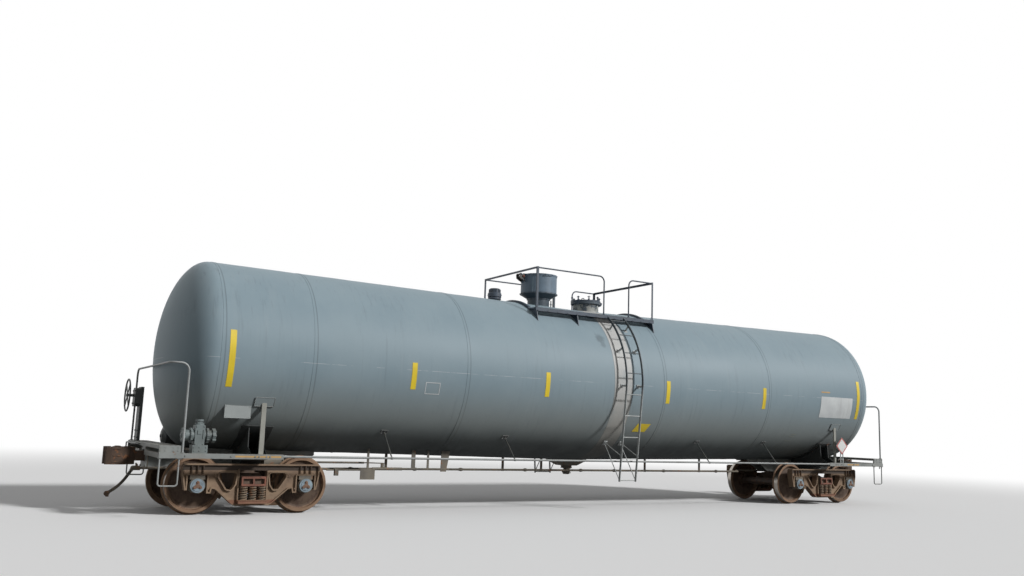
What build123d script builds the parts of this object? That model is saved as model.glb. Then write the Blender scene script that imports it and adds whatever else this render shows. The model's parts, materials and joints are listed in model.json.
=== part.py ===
from build123d import *
from math import acos, atan, cos, degrees, radians, sin, sqrt, tan
import os

# Railway tank car, millimetres. X runs along the car, Y across it, Z up.
# Z = 0 is the lowest point of the wheel flanges and X = 0 the middle of the car.
# End "a" is at +X. End "b" is at -X and carries the hand brake.

# wheels and axles
tread_radius = 457.2
flange_height = 28.6
rail_top = flange_height
axle_z = rail_top + tread_radius
back_face = 674.7
rim_width = 145.0
flange_width = 32.0
rim_thickness = 52.0
plate_thickness = 24.0
hub_radius = 135.0
hub_length = 178.0
axle_radius = 82.0
wheel_seat_radius = 96.0
journal_radius = 78.0
journal_centre = 1003.5
bearing_radius = 126.0
bearing_width = 160.0
journal_clearance = 0.08
end_cap_radius = 112.0
end_cap_width = 34.0

# tank jacket: the keel is its lowest point at mid-car, the crown its highest there
tank_radius = 1610.0
tank_keel = rail_top + 908.0
tank_axis_z = tank_keel + tank_radius
tank_crown = tank_axis_z + tank_radius
tank_slope = degrees(atan(0.0136))
tank_tangent = 7755.0
head_depth = 660.0
tank_end = tank_tangent + head_depth
pad_thickness = 12.0

# trucks
truck_centre = tank_tangent - 835.0
half_wheelbase = 889.0

# stub sill and couplers
coupler_z = rail_top + 876.0
sill_half_width = 165.0
sill_web = 16.0
sill_bottom = rail_top + 705.0
sill_top = rail_top + 1040.0
sill_inner_end = truck_centre - 1320.0
sill_taper_end = sill_inner_end + 350.0
platform_end = tank_end + 95.0
striker_x = platform_end - 60.0
striker_thickness = 25.0
centre_plate_radius = 178.0
centre_plate_z = rail_top + 660.0
coupler_pivot_x = striker_x - 500.0
coupler_pin_radius = 42.0
pin_clearance = 0.08
knuckle_pin_radius = 20.0
pulling_face = striker_x + 645.0

# end platforms
side_y = 1500.0
side_sill_half = 30.0
side_sill_wall = 8.0
side_sill_bottom = rail_top + 900.0
side_sill_top = rail_top + 978.0
side_sill_inner = truck_centre - 340.0
platform_inner = platform_end - 320.0
platform_top = rail_top + 1092.0
end_rail_top = rail_top + 2370.0

# side handrails
handrail_radius = 19.0
handrail_z = rail_top + 945.0

# top platform
deck_half_length = 1520.0
deck_y = 1100.0
deck_inner = 750.0
deck_rise = 10.0
deck_top = tank_axis_z + sqrt(tank_radius ** 2 - deck_inner ** 2) + deck_rise
deck_depth = 75.0
rail_height_z = deck_top + 832.0
rail_y = 1062.0
ladder_x = 485.0
ladder_half_width = 205.0
ladder_standoff = 150.0
ladder_foot = rail_top + 545.0

# fittings on top
housing_x = -770.0
housing_radius = 387.0
manway_x = 480.0
manway_radius = 330.0
relief_x = -1860.0


def tank_form(grow):
    # the jacket, or the jacket grown outwards by a skin
    slope_plane = Plane(
        origin=(0, 0, tank_axis_z),
        x_dir=(cos(radians(tank_slope)), 0, sin(radians(tank_slope))),
        z_dir=(0, -1, 0),
    )
    with BuildPart() as form:
        with BuildSketch(slope_plane):
            with BuildLine():
                Line((-200, 0), (-200, tank_radius + grow))
                Line((-200, tank_radius + grow), (tank_tangent, tank_radius + grow))
                EllipticalCenterArc(
                    (tank_tangent, 0),
                    head_depth + grow,
                    tank_radius + grow,
                    start_angle=0,
                    arc_size=90,
                )
                Line((tank_tangent + head_depth + grow, 0), (-200, 0))
            make_face()
        revolve(axis=Axis(slope_plane.origin, slope_plane.x_dir))
        split(bisect_by=Plane.YZ, keep=Keep.TOP)
        mirror(about=Plane.YZ)
    return form.part


def pipe(points, radius, bend=0.0):
    # a round bar along a path of points, with bent corners
    with BuildPart() as run:
        with BuildLine() as path:
            if bend:
                FilletPolyline(*points, radius=bend)
            else:
                Polyline(*points)
        with BuildSketch(Plane(origin=path.line @ 0, z_dir=path.line % 0)):
            Circle(radius)
        sweep()
    return run.part


def bar(start, end, width, depth, up=(0, 0, 1)):
    # a flat bar from one point to another, its depth lying along up
    run = Vector(*end) - Vector(*start)
    side = run.cross(Vector(*up))
    with BuildPart() as stick:
        with BuildSketch(Plane(origin=start, x_dir=side, z_dir=run)):
            Rectangle(width, depth)
        extrude(amount=run.length)
    return stick.part


def block(low, high):
    # a box from its low corner to its high corner
    size = Vector(*high) - Vector(*low)
    middle = (Vector(*high) + Vector(*low)) * 0.5
    with BuildPart() as body:
        with Locations(middle):
            Box(size.X, size.Y, size.Z)
    return body.part


def tank_height(x):
    return tank_axis_z + abs(x) * tan(radians(tank_slope))


def tank_under(x, y):
    return tank_height(x) - sqrt(tank_radius ** 2 - y ** 2)


def tank_over(x, y):
    return tank_height(x) + sqrt(tank_radius ** 2 - y ** 2)


def tank_side(x, z):
    return sqrt(tank_radius ** 2 - (z - tank_height(x)) ** 2)


os.makedirs("parts", exist_ok=True)

tank_solid = tank_form(0)
tank_grown = tank_form(pad_thickness)
tank_skin = tank_grown - tank_solid

# tank jacket
with BuildPart() as tank_jacket:
    add(tank_solid)
tank_jacket.part.label = "tank_jacket"
export_step(tank_jacket.part, "parts/tank_jacket.step")

# stub sill, built at end a and mirrored to end b
pocket_half = sill_half_width - sill_web
pocket_top = rail_top + 980.0
filler_half = 120.0
flange_out = 50.0
striker_half = 235.0
striker_gap = 150.0
carrier_top = coupler_z - 90.0
with BuildPart() as stub_sill_a:
    with BuildSketch(Plane.XZ):
        with BuildLine():
            Polyline(
                (sill_inner_end, sill_top),
                (sill_inner_end, rail_top + 930.0),
                (sill_taper_end, sill_bottom),
                (striker_x, sill_bottom),
                (striker_x, sill_top),
                close=True,
            )
        make_face()
    extrude(amount=sill_half_width, both=True)
    add(
        block(
            (sill_inner_end + 60, -pocket_half, sill_bottom - 1),
            (truck_centre - filler_half, pocket_half, pocket_top),
        ),
        mode=Mode.SUBTRACT,
    )
    add(
        block(
            (truck_centre + filler_half, -pocket_half, sill_bottom - 1),
            (striker_x + 1, pocket_half, pocket_top),
        ),
        mode=Mode.SUBTRACT,
    )
    for side in (-1, 1):
        inner = side * sill_half_width
        outer = side * (sill_half_width + flange_out)
        add(
            block(
                (sill_taper_end + 50, min(inner, outer), sill_bottom),
                (striker_x, max(inner, outer), sill_bottom + 14),
            )
        )
    with BuildSketch(Plane.YZ.offset(striker_x)):
        with Locations((0, rail_top + 882.0)):
            Rectangle(2 * striker_half, 386)
        with Locations((0, (carrier_top + pocket_top) / 2)):
            Rectangle(2 * striker_gap, pocket_top - carrier_top, mode=Mode.SUBTRACT)
    extrude(amount=striker_thickness)
    add(block((striker_x - 70, -pocket_half, sill_bottom), (striker_x, pocket_half, carrier_top)))
    add(
        block(
            (coupler_pivot_x - 110, -pocket_half, sill_bottom),
            (coupler_pivot_x + 110, pocket_half, sill_bottom + 20),
        )
    )
    with BuildSketch(Plane.XY.offset(sill_bottom)):
        with Locations((coupler_pivot_x, 0)):
            Circle(coupler_pin_radius)
    extrude(amount=pocket_top - sill_bottom)
    with BuildSketch(Plane.XY.offset(centre_plate_z)):
        with Locations((truck_centre, 0)):
            Circle(centre_plate_radius)
    extrude(amount=sill_bottom - centre_plate_z)
    add(tank_solid, mode=Mode.SUBTRACT)
stub_sill_a.part.label = "stub_sill_a"
export_step(stub_sill_a.part, "parts/stub_sill_a.step")

with BuildPart() as stub_sill_b:
    add(stub_sill_a.part.mirror(Plane.YZ))
stub_sill_b.part.label = "stub_sill_b"
export_step(stub_sill_b.part, "parts/stub_sill_b.step")

# body bolster with saddle webs, posts and tank pads
web_offset = 130.0
web_thickness = 16.0
bolster_flange_half = 165.0
bolster_flange = 14.0
post_inner = 1375.0
post_outer = 1405.0
post_half = 38.0
post_foot = side_sill_top - 6.0
post_shelf_y = 1290.0
arm_end = side_y - side_sill_half
horn_y = 1060.0
horn_z = tank_under(truck_centre, horn_y) + 100.0
pad_mid_z = tank_under(truck_centre, post_outer) - 10.0
pad_half_height = 70.0
pad_half_length = 160.0
bolster_floor = [
    # y, height above the rail
    (sill_half_width, 740.0),
    (450.0, 790.0),
    (760.0, 790.0),
    (860.0, 850.0),
    (arm_end, 905.0),
]
floor_line = [(y, rail_top + z) for y, z in bolster_floor]
floor_back = [(y, z + bolster_flange) for y, z in reversed(floor_line)]
with BuildPart() as body_bolster_a:
    for web_x in (truck_centre - web_offset, truck_centre + web_offset):
        with BuildSketch(Plane.YZ.offset(web_x - web_thickness / 2)):
            with BuildLine():
                Polyline(
                    *floor_line,
                    (arm_end, post_foot),
                    (post_shelf_y, post_foot),
                    (horn_y + 30, rail_top + 1080.0),
                    (horn_y, horn_z),
                    (sill_half_width, rail_top + 1100.0),
                    close=True,
                )
            make_face()
            mirror(about=Plane.YZ)
        extrude(amount=web_thickness)
    with BuildSketch(Plane.YZ.offset(truck_centre - bolster_flange_half)):
        with BuildLine():
            Polyline(*floor_line, *floor_back, close=True)
        make_face()
        mirror(about=Plane.YZ)
    extrude(amount=2 * bolster_flange_half)
    for side in (-1, 1):
        near = min(side * post_inner, side * post_outer)
        far = max(side * post_inner, side * post_outer)
        shelf_low = min(side * post_shelf_y, side * arm_end)
        shelf_high = max(side * post_shelf_y, side * arm_end)
        add(
            block(
                (truck_centre - post_half, near, post_foot - 50),
                (truck_centre + post_half, far, pad_mid_z - 15),
            )
        )
        add(
            block(
                (truck_centre - bolster_flange_half, shelf_low, post_foot - bolster_flange),
                (truck_centre + bolster_flange_half, shelf_high, post_foot),
            )
        )
    add(tank_grown, mode=Mode.SUBTRACT)
    for side in (-1, 1):
        pad_low = min(side * (post_inner - 160), side * (post_outer + 150))
        pad_high = max(side * (post_inner - 160), side * (post_outer + 150))
        pad_box = block(
            (truck_centre - pad_half_length, pad_low, pad_mid_z - pad_half_height),
            (truck_centre + pad_half_length, pad_high, pad_mid_z + pad_half_height),
        )
        add(tank_skin & pad_box)
        saddle_low = min(side * 170, side * (horn_y + 40))
        saddle_high = max(side * 170, side * (horn_y + 40))
        saddle_box = block(
            (truck_centre - 260, saddle_low, rail_top + 900.0),
            (truck_centre + 260, saddle_high, horn_z),
        )
        add(tank_skin & saddle_box)
    add(tank_solid, mode=Mode.SUBTRACT)
body_bolster_a.part.label = "body_bolster_a"
export_step(body_bolster_a.part, "parts/body_bolster_a.step")

with BuildPart() as body_bolster_b:
    add(body_bolster_a.part.mirror(Plane.YZ))
body_bolster_b.part.label = "body_bolster_b"
export_step(body_bolster_b.part, "parts/body_bolster_b.step")

# side sills at the four corners, each with its beam to the striker
beam_clear_z = rail_top + 950.0
with BuildPart() as sill_pair:
    for side in (-1, 1):
        low_y = side * side_y - side_sill_half
        high_y = side * side_y + side_sill_half
        add(
            block(
                (side_sill_inner, low_y, side_sill_bottom),
                (platform_end, high_y, side_sill_top),
            )
        )
        # the open side of the channel faces the car's centre line
        open_low = min(low_y * side, high_y * side) * side
        open_high = open_low + side * (2 * side_sill_half - side_sill_wall)
        add(
            block(
                (
                    side_sill_inner + side_sill_wall,
                    min(open_low, open_high),
                    side_sill_bottom + side_sill_wall,
                ),
                (
                    platform_end - side_sill_wall,
                    max(open_low, open_high),
                    side_sill_top - side_sill_wall,
                ),
            ),
            mode=Mode.SUBTRACT,
        )
        add(
            block(
                (striker_x, min(side * striker_half, side * arm_end), side_sill_bottom),
                (platform_end, max(side * striker_half, side * arm_end), side_sill_top),
            )
        )
    add(stub_sill_a.part, mode=Mode.SUBTRACT)
with BuildPart() as side_sills:
    add(sill_pair.part)
    add(sill_pair.part.mirror(Plane.YZ))
side_sills.part.label = "side_sills"
export_step(side_sills.part, "parts/side_sills.step")

# end platform: side panels, two edge beams and the grating between them
grating_depth = 30.0
edge_beam = 14.0
slot_width = 38.0
slot_pitch = 72.0
slot_margin = 26.0
slot_length = platform_end - platform_inner - 2 * (edge_beam + slot_margin)
slot_rows = int((side_y - 60.0) / slot_pitch)
with BuildPart() as end_platform_a:
    for side in (-1, 1):
        add(
            block(
                (platform_inner, side * side_y - edge_beam, side_sill_top),
                (platform_end, side * side_y + edge_beam, platform_top),
            )
        )
    for low_x in (platform_inner, platform_end - edge_beam):
        add(
            block(
                (low_x, -side_y, sill_top),
                (low_x + edge_beam, side_y, platform_top),
            )
        )
    add(
        block(
            (platform_inner, -side_y, platform_top - grating_depth),
            (platform_end, side_y, platform_top),
        )
    )
    add(stub_sill_a.part, mode=Mode.SUBTRACT)
    with BuildSketch(Plane.XY.offset(platform_top)):
        for row in range(-slot_rows, slot_rows):
            with Locations(((platform_inner + platform_end) / 2, (row + 0.5) * slot_pitch)):
                SlotOverall(slot_length, slot_width)
    extrude(amount=-grating_depth, mode=Mode.SUBTRACT)
end_platform_a.part.label = "end_platform_a"
export_step(end_platform_a.part, "parts/end_platform_a.step")

with BuildPart() as end_platform_b:
    add(end_platform_a.part.mirror(Plane.YZ))
end_platform_b.part.label = "end_platform_b"
export_step(end_platform_b.part, "parts/end_platform_b.step")

# sill steps, one bent bar below each corner
step_foot = rail_top + 480.0
step_radius = 12.0
step_bend = 45.0
step_outer_x = platform_end - 20.0
step_inner_x = platform_inner + 15.0
with BuildPart() as sill_steps:
    for end in (-1, 1):
        for side in (-1, 1):
            add(
                pipe(
                    [
                        (end * step_outer_x, side * side_y, side_sill_bottom),
                        (end * step_outer_x, side * side_y, step_foot),
                        (end * step_inner_x, side * side_y, step_foot),
                        (end * step_inner_x, side * side_y, side_sill_bottom),
                    ],
                    step_radius,
                    step_bend,
                )
            )
sill_steps.part.label = "sill_steps"
export_step(sill_steps.part, "parts/sill_steps.step")

# end rails, one arch over each end; the post on the platform is at -Y at end a
end_rail_radius = 17.0
end_rail_bend = 130.0
end_rail_posts = [
    # end, x of the post on the side sill, x of the post on the platform
    (1, platform_inner - 25.0, platform_end - 55.0),
    (-1, platform_inner - 25.0, platform_end - 55.0),
]
with BuildPart() as end_rails:
    for end, sill_post_x, platform_post_x in end_rail_posts:
        add(
            pipe(
                [
                    (end * sill_post_x, end * side_y, side_sill_top),
                    (end * sill_post_x, end * side_y, end_rail_top),
                    (end * platform_post_x, end * side_y, end_rail_top),
                    (end * platform_post_x, -end * side_y, end_rail_top),
                    (end * platform_post_x, -end * side_y, platform_top),
                ],
                end_rail_radius,
                end_rail_bend,
            )
        )
end_rails.part.label = "end_rails"
export_step(end_rails.part, "parts/end_rails.step")

# side handrails, and the struts that carry them from pads on the tank
strut_radius = 12.0
strut_pad_half = 60.0
strut_top_y = 1085.0
strut_x = [-4655.0, -2145.0, 2765.0, 4815.0]
with BuildPart() as side_handrails:
    for side in (-1, 1):
        add(
            pipe(
                [
                    (-side_sill_inner, side * side_y, handrail_z),
                    (side_sill_inner, side * side_y, handrail_z),
                ],
                handrail_radius,
            )
        )
side_handrails.part.label = "side_handrails"
export_step(side_handrails.part, "parts/side_handrails.step")

with BuildPart() as handrail_struts:
    for side in (-1, 1):
        for x in strut_x:
            top = Vector(x, side * (strut_top_y - 25), tank_under(x, strut_top_y) + 25)
            foot = Vector(x, side * side_y, handrail_z)
            add(pipe([tuple(foot), tuple(top)], strut_radius))
    add(tank_grown, mode=Mode.SUBTRACT)
    for side in (-1, 1):
        for x in strut_x:
            pad_z = tank_under(x, strut_top_y)
            pad_box = block(
                (x - strut_pad_half, min(side * 900, side * 1300), pad_z - 28),
                (x + strut_pad_half, max(side * 900, side * 1300), pad_z + 28),
            )
            add(tank_skin & pad_box)
    add(side_handrails.part, mode=Mode.SUBTRACT)
handrail_struts.part.label = "handrail_struts"
export_step(handrail_struts.part, "parts/handrail_struts.step")

# ladders: stiles that follow the tank, then run straight down
ladder_radius = tank_radius + ladder_standoff
ladder_leave_angle = 6.0
stile_depth = 50.0
stile_width = 12.0
ladder_top_angle = degrees(acos(deck_y / (ladder_radius + stile_depth / 2)))
rung_radius = 10.0
rung_pitch = 431.0
first_rung = 25.0
leave_y = ladder_radius * cos(radians(ladder_leave_angle))
leave_z = tank_axis_z - ladder_radius * sin(radians(ladder_leave_angle))
foot_y = leave_y - (leave_z - ladder_foot) * tan(radians(ladder_leave_angle))
straight_length = (leave_z - ladder_foot) / cos(radians(ladder_leave_angle))


def ladder_point(distance):
    # y and z of the stile's centre line at a distance along it from its foot
    if distance <= straight_length:
        share = distance / straight_length
        return (
            foot_y + (leave_y - foot_y) * share,
            ladder_foot + (leave_z - ladder_foot) * share,
        )
    angle = -ladder_leave_angle + degrees((distance - straight_length) / ladder_radius)
    return (
        ladder_radius * cos(radians(angle)),
        tank_axis_z + ladder_radius * sin(radians(angle)),
    )


rung_rows = [first_rung + i * rung_pitch for i in range(9)]
with BuildPart() as ladder_stiles:
    for side in (-1, 1):
        for offset_x in (-ladder_half_width, ladder_half_width):
            stile_plane = Plane(
                origin=(ladder_x + offset_x - stile_width / 2, 0, 0),
                x_dir=(0, side, 0),
                z_dir=(side, 0, 0),
            )
            with BuildSketch(stile_plane):
                with BuildLine():
                    l1 = CenterArc(
                        (0, tank_axis_z),
                        ladder_radius + stile_depth / 2,
                        -ladder_leave_angle,
                        ladder_top_angle + ladder_leave_angle,
                    )
                    l2 = CenterArc(
                        (0, tank_axis_z),
                        ladder_radius - stile_depth / 2,
                        -ladder_leave_angle,
                        ladder_top_angle + ladder_leave_angle,
                    )
                    l3 = Line(l1 @ 1, l2 @ 1)
                    l4 = PolarLine(l1 @ 0, straight_length, -90 - ladder_leave_angle)
                    l5 = PolarLine(l2 @ 0, straight_length, -90 - ladder_leave_angle)
                    l6 = Line(l4 @ 1, l5 @ 1)
                make_face()
            extrude(amount=side * stile_width)
    add(
        block(
            (ladder_x - ladder_half_width - 50, -deck_y, deck_top - deck_depth - 60),
            (ladder_x + ladder_half_width + 50, deck_y, deck_top + 100),
        ),
        mode=Mode.SUBTRACT,
    )
    add(
        block(
            (ladder_x - ladder_half_width - 50, -deck_y - 200, deck_top),
            (ladder_x + ladder_half_width + 50, deck_y + 200, deck_top + 100),
        ),
        mode=Mode.SUBTRACT,
    )
ladder_stiles.part.label = "ladder_stiles"
export_step(ladder_stiles.part, "parts/ladder_stiles.step")

rung_length = 2 * ladder_half_width - stile_width
with BuildPart() as ladder_rungs:
    for side in (-1, 1):
        for distance in rung_rows:
            y, z = ladder_point(distance)
            with BuildSketch(Plane.YZ.offset(ladder_x - rung_length / 2)):
                with Locations((side * y, z)):
                    Circle(rung_radius)
            extrude(amount=rung_length)
ladder_rungs.part.label = "ladder_rungs"
export_step(ladder_rungs.part, "parts/ladder_rungs.step")

# braces from a pad under the tank to each stile, and stand-offs higher up
brace_pad_y = 1045.0
brace_radius = 9.0
standoff_angles = [-2.0, 24.0, 44.0]
with BuildPart() as ladder_braces:
    for side in (-1, 1):
        pad_z = tank_under(ladder_x, brace_pad_y)
        for offset_x in (-ladder_half_width, ladder_half_width):
            x = ladder_x + offset_x
            start = (x, side * (brace_pad_y - 22), pad_z + 18)
            for distance in (60.0, 520.0):
                y, z = ladder_point(distance)
                add(pipe([start, (x, side * (y - stile_depth / 2), z)], brace_radius))
            for angle in standoff_angles:
                out_y = side * cos(radians(angle))
                out_z = sin(radians(angle))
                inner_r = tank_radius - 4
                outer_r = ladder_radius - stile_depth / 2
                inner = (x, inner_r * out_y, tank_axis_z + inner_r * out_z)
                outer = (x, outer_r * out_y, tank_axis_z + outer_r * out_z)
                add(bar(inner, outer, stile_width, 40))
    add(tank_grown, mode=Mode.SUBTRACT)
    pad_angles = [(-degrees(atan((tank_axis_z - pad_z) / brace_pad_y)), 45.0)]
    for angle in standoff_angles:
        pad_angles.append((angle, 35.0))
    for side in (-1, 1):
        for offset_x in (-ladder_half_width, ladder_half_width):
            x = ladder_x + offset_x
            for angle, half in pad_angles:
                y = side * tank_radius * cos(radians(angle))
                z = tank_axis_z + tank_radius * sin(radians(angle))
                pad_box = block((x - half, y - half, z - half), (x + half, y + half, z + half))
                add(tank_skin & pad_box)
    add(ladder_stiles.part, mode=Mode.SUBTRACT)
ladder_braces.part.label = "ladder_braces"
export_step(ladder_braces.part, "parts/ladder_braces.step")

# top platform: a deck along each side, cross straps and brackets
deck_edge = 12.0
deck_thickness = 30.0
strap_width = 50.0
strap_thickness = 45.0
bracket_inset = 30.0
bracket_x = [-deck_half_length + bracket_inset, -500.0, deck_half_length - bracket_inset]
bracket_root_y = deck_inner + 60.0
bracket_toe_y = deck_y + 50.0
deck_slot_length = deck_y - deck_inner - 130.0
deck_slot_rows = int((deck_half_length - 60.0) / slot_pitch)
tank_cap = tank_form(strap_thickness)
with BuildPart() as top_platform:
    for side in (-1, 1):
        add(
            block(
                (-deck_half_length, min(side * deck_inner, side * deck_y), deck_top - deck_thickness),
                (deck_half_length, max(side * deck_inner, side * deck_y), deck_top),
            )
        )
        add(
            block(
                (-deck_half_length, min(side * (deck_y - deck_edge), side * deck_y), deck_top - deck_depth),
                (deck_half_length, max(side * (deck_y - deck_edge), side * deck_y), deck_top),
            )
        )
        with BuildSketch(Plane.XY.offset(deck_top)):
            for row in range(-deck_slot_rows, deck_slot_rows):
                with Locations(((row + 0.5) * slot_pitch, side * (deck_inner + deck_y + 60.0) / 2)):
                    SlotOverall(deck_slot_length, slot_width, rotation=90)
        extrude(amount=-deck_thickness, mode=Mode.SUBTRACT)
        for x in bracket_x:
            with BuildSketch(Plane.YZ.offset(x - deck_edge / 2)):
                with BuildLine():
                    Polyline(
                        (side * bracket_root_y, deck_top - deck_thickness),
                        (side * (deck_y - deck_edge), deck_top - deck_thickness),
                        (side * (deck_y - deck_edge), deck_top - deck_depth),
                        (side * bracket_toe_y, tank_over(x, bracket_toe_y) + 4),
                        (side * (bracket_toe_y - 10), tank_over(x, bracket_toe_y - 10) - 30),
                        (side * bracket_root_y, tank_over(x, bracket_root_y) - 30),
                        close=True,
                    )
                make_face()
            extrude(amount=deck_edge)
    for x in (-deck_half_length + strap_width / 2, deck_half_length - strap_width / 2):
        strap_box = block(
            (x - strap_width / 2, -bracket_root_y, deck_top - 60),
            (x + strap_width / 2, bracket_root_y, tank_crown + 200),
        )
        add(tank_cap & strap_box)
    add(tank_solid, mode=Mode.SUBTRACT)
top_platform.part.label = "top_platform"
export_step(top_platform.part, "parts/top_platform.step")

# top railing: angle posts at the corners, end rails, and side rails of pipe
post_leg = 42.0
post_wall = 6.0
post_x = deck_half_length - 14.0
top_rail_radius = 15.0
top_rail_bend = 120.0
gap_left_x = 190.0
gap_right_x = 850.0
with BuildPart() as top_railing:
    for side in (-1, 1):
        for end in (-1, 1):
            with BuildSketch(Plane.XY.offset(deck_top)):
                with BuildLine():
                    Polyline(
                        (end * post_x, side * (rail_y + post_leg / 2)),
                        (end * (post_x - post_leg), side * (rail_y + post_leg / 2)),
                        (end * (post_x - post_leg), side * (rail_y + post_leg / 2 - post_wall)),
                        (end * (post_x - post_wall), side * (rail_y + post_leg / 2 - post_wall)),
                        (end * (post_x - post_wall), side * (rail_y - post_leg / 2)),
                        (end * post_x, side * (rail_y - post_leg / 2)),
                        close=True,
                    )
                make_face()
            extrude(amount=rail_height_z - deck_top)
        rail_z = rail_height_z - top_rail_radius - 5
        add(
            pipe(
                [
                    (-post_x + post_wall, side * rail_y, rail_z),
                    (gap_left_x, side * rail_y, rail_z),
                    (gap_left_x, side * rail_y, deck_top),
                ],
                top_rail_radius,
                top_rail_bend,
            )
        )
        add(
            pipe(
                [
                    (post_x - post_wall, side * rail_y, rail_z),
                    (gap_right_x, side * rail_y, rail_z),
                    (gap_right_x, side * rail_y, deck_top),
                ],
                top_rail_radius,
                top_rail_bend,
            )
        )
    for end in (-1, 1):
        with BuildSketch(Plane.XZ.offset(-rail_y + post_leg / 2 - post_wall)):
            with BuildLine():
                Polyline(
                    (end * post_x, rail_height_z),
                    (end * (post_x - post_leg), rail_height_z),
                    (end * (post_x - post_leg), rail_height_z - post_wall),
                    (end * (post_x - post_wall), rail_height_z - post_wall),
                    (end * (post_x - post_wall), rail_height_z - post_leg),
                    (end * post_x, rail_height_z - post_leg),
                    close=True,
                )
            make_face()
        extrude(amount=2 * (rail_y - post_leg / 2 + post_wall), both=False)
top_railing.part.label = "top_railing"
export_step(top_railing.part, "parts/top_railing.step")

# valve housing on its neck, with a hinged lid and the valves inside
housing_root = tank_crown - 48.0
housing_base = tank_crown + 165.0
housing_cone_top = tank_crown + 275.0
housing_top = tank_crown + 637.0
housing_wall = 12.0
housing_neck_radius = housing_radius - 152.0
housing_floor = housing_base + 30.0
housing_band = 14.0
band_height = 22.0
lid_gap = 2.0
lid_thickness = 34.0
lid_crown = 66.0
lid_radius = housing_radius + 8.0
lid_hinge_reach = 100.0
with BuildPart() as housing_form:
    with BuildSketch(Plane.XZ):
        with BuildLine():
            Polyline(
                (0, housing_root),
                (housing_neck_radius, housing_root),
                (housing_neck_radius, housing_base - band_height),
                (housing_neck_radius + housing_band, housing_base - band_height),
                (housing_neck_radius + housing_band, housing_base),
                (housing_radius + housing_band, housing_cone_top - band_height),
                (housing_radius + housing_band, housing_cone_top),
                (housing_radius, housing_cone_top),
                (housing_radius, housing_top),
                (housing_radius - housing_wall, housing_top),
                (housing_radius - housing_wall, housing_cone_top + 6),
                (housing_neck_radius, housing_floor),
                (0, housing_floor),
                close=True,
            )
        make_face()
    revolve(axis=Axis.Z)
with BuildPart() as valve_housing:
    with Locations((housing_x, 0, 0)):
        add(housing_form.part)
    add(tank_solid, mode=Mode.SUBTRACT)
    # hinge ears for the lid
    lid_hinge_x = housing_x - lid_radius - lid_hinge_reach
    lid_hinge_z = housing_top + 18.0
    lid_pin_radius = 10.0
    for side in (-1, 1):
        with BuildSketch(Plane.XZ.offset(-side * 70.0 - 9)):
            with BuildLine():
                Polyline(
                    (housing_x - housing_radius + 12, housing_top - 150),
                    (housing_x - housing_radius + 12, housing_top - 12),
                    (lid_hinge_x + 30, housing_top - 12),
                    (lid_hinge_x + 20, lid_hinge_z + 20),
                    (lid_hinge_x - 24, lid_hinge_z + 20),
                    (lid_hinge_x - 40, lid_hinge_z - 20),
                    (lid_hinge_x - 30, housing_top - 70),
                    close=True,
                )
            make_face()
        extrude(amount=18)
    with BuildSketch(Plane.XZ.offset(-79.0)):
        with Locations((lid_hinge_x, lid_hinge_z)):
            Circle(lid_pin_radius)
    extrude(amount=158)
    # locking bar guide, from the tank up the wall opposite the hinge
    add(
        block(
            (housing_x + housing_radius - 8, -22, housing_root),
            (housing_x + housing_radius + 34, 22, housing_top - 75),
        )
    )
    add(tank_solid, mode=Mode.SUBTRACT)
valve_housing.part.label = "valve_housing"
export_step(valve_housing.part, "parts/valve_housing.step")

with BuildPart() as lid_form:
    with BuildSketch(Plane.XZ):
        with BuildLine():
            Line((0, housing_top + lid_gap), (lid_radius, housing_top + lid_gap))
            Line((lid_radius, housing_top + lid_gap), (lid_radius, housing_top + lid_thickness))
            TangentArc(
                (0, housing_top + lid_crown),
                (lid_radius, housing_top + lid_thickness),
                tangent=(1, 0),
            )
            Line((0, housing_top + lid_crown), (0, housing_top + lid_gap))
        make_face()
    revolve(axis=Axis.Z)
with BuildPart() as housing_lid:
    with Locations((housing_x, 0, 0)):
        add(lid_form.part)
    add(
        block(
            (lid_hinge_x - 10, -55, lid_hinge_z - 10),
            (housing_x - lid_radius + 40, 55, lid_hinge_z + 10),
        )
    )
    with BuildSketch(Plane.XZ.offset(-55)):
        with Locations((lid_hinge_x, lid_hinge_z)):
            Circle(lid_pin_radius + 12)
    extrude(amount=110)
    with BuildSketch(Plane.XZ.offset(-56)):
        with Locations((lid_hinge_x, lid_hinge_z)):
            Circle(lid_pin_radius + pin_clearance)
    extrude(amount=112, mode=Mode.SUBTRACT)
    # hasp opposite the hinge
    add(
        block(
            (housing_x + lid_radius - 6, -30, housing_top - 60),
            (housing_x + lid_radius + 12, 30, housing_top + lid_thickness - 6),
        )
    )
housing_lid.part.label = "housing_lid"
export_step(housing_lid.part, "parts/housing_lid.step")

valve_places = [
    # x from the housing axis, y, body radius, height
    (-162.0, 0.0, 58.0, 260.0),
    (112.0, -132.0, 50.0, 210.0),
    (112.0, 132.0, 50.0, 210.0),
]
with BuildPart() as housing_valves:
    for dx, y, radius, height in valve_places:
        with BuildSketch(Plane.XY.offset(housing_floor)):
            with Locations((housing_x + dx, y)):
                Circle(radius)
        extrude(amount=height * 0.55)
        with BuildSketch(Plane.XY.offset(housing_floor)):
            with Locations((housing_x + dx, y)):
                Circle(radius * 0.35)
        extrude(amount=height)
        with BuildSketch(Plane.XY.offset(housing_floor + height)):
            with Locations((housing_x + dx, y)):
                Circle(radius * 0.9)
        extrude(amount=14)
housing_valves.part.label = "housing_valves"
export_step(housing_valves.part, "parts/housing_valves.step")

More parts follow.
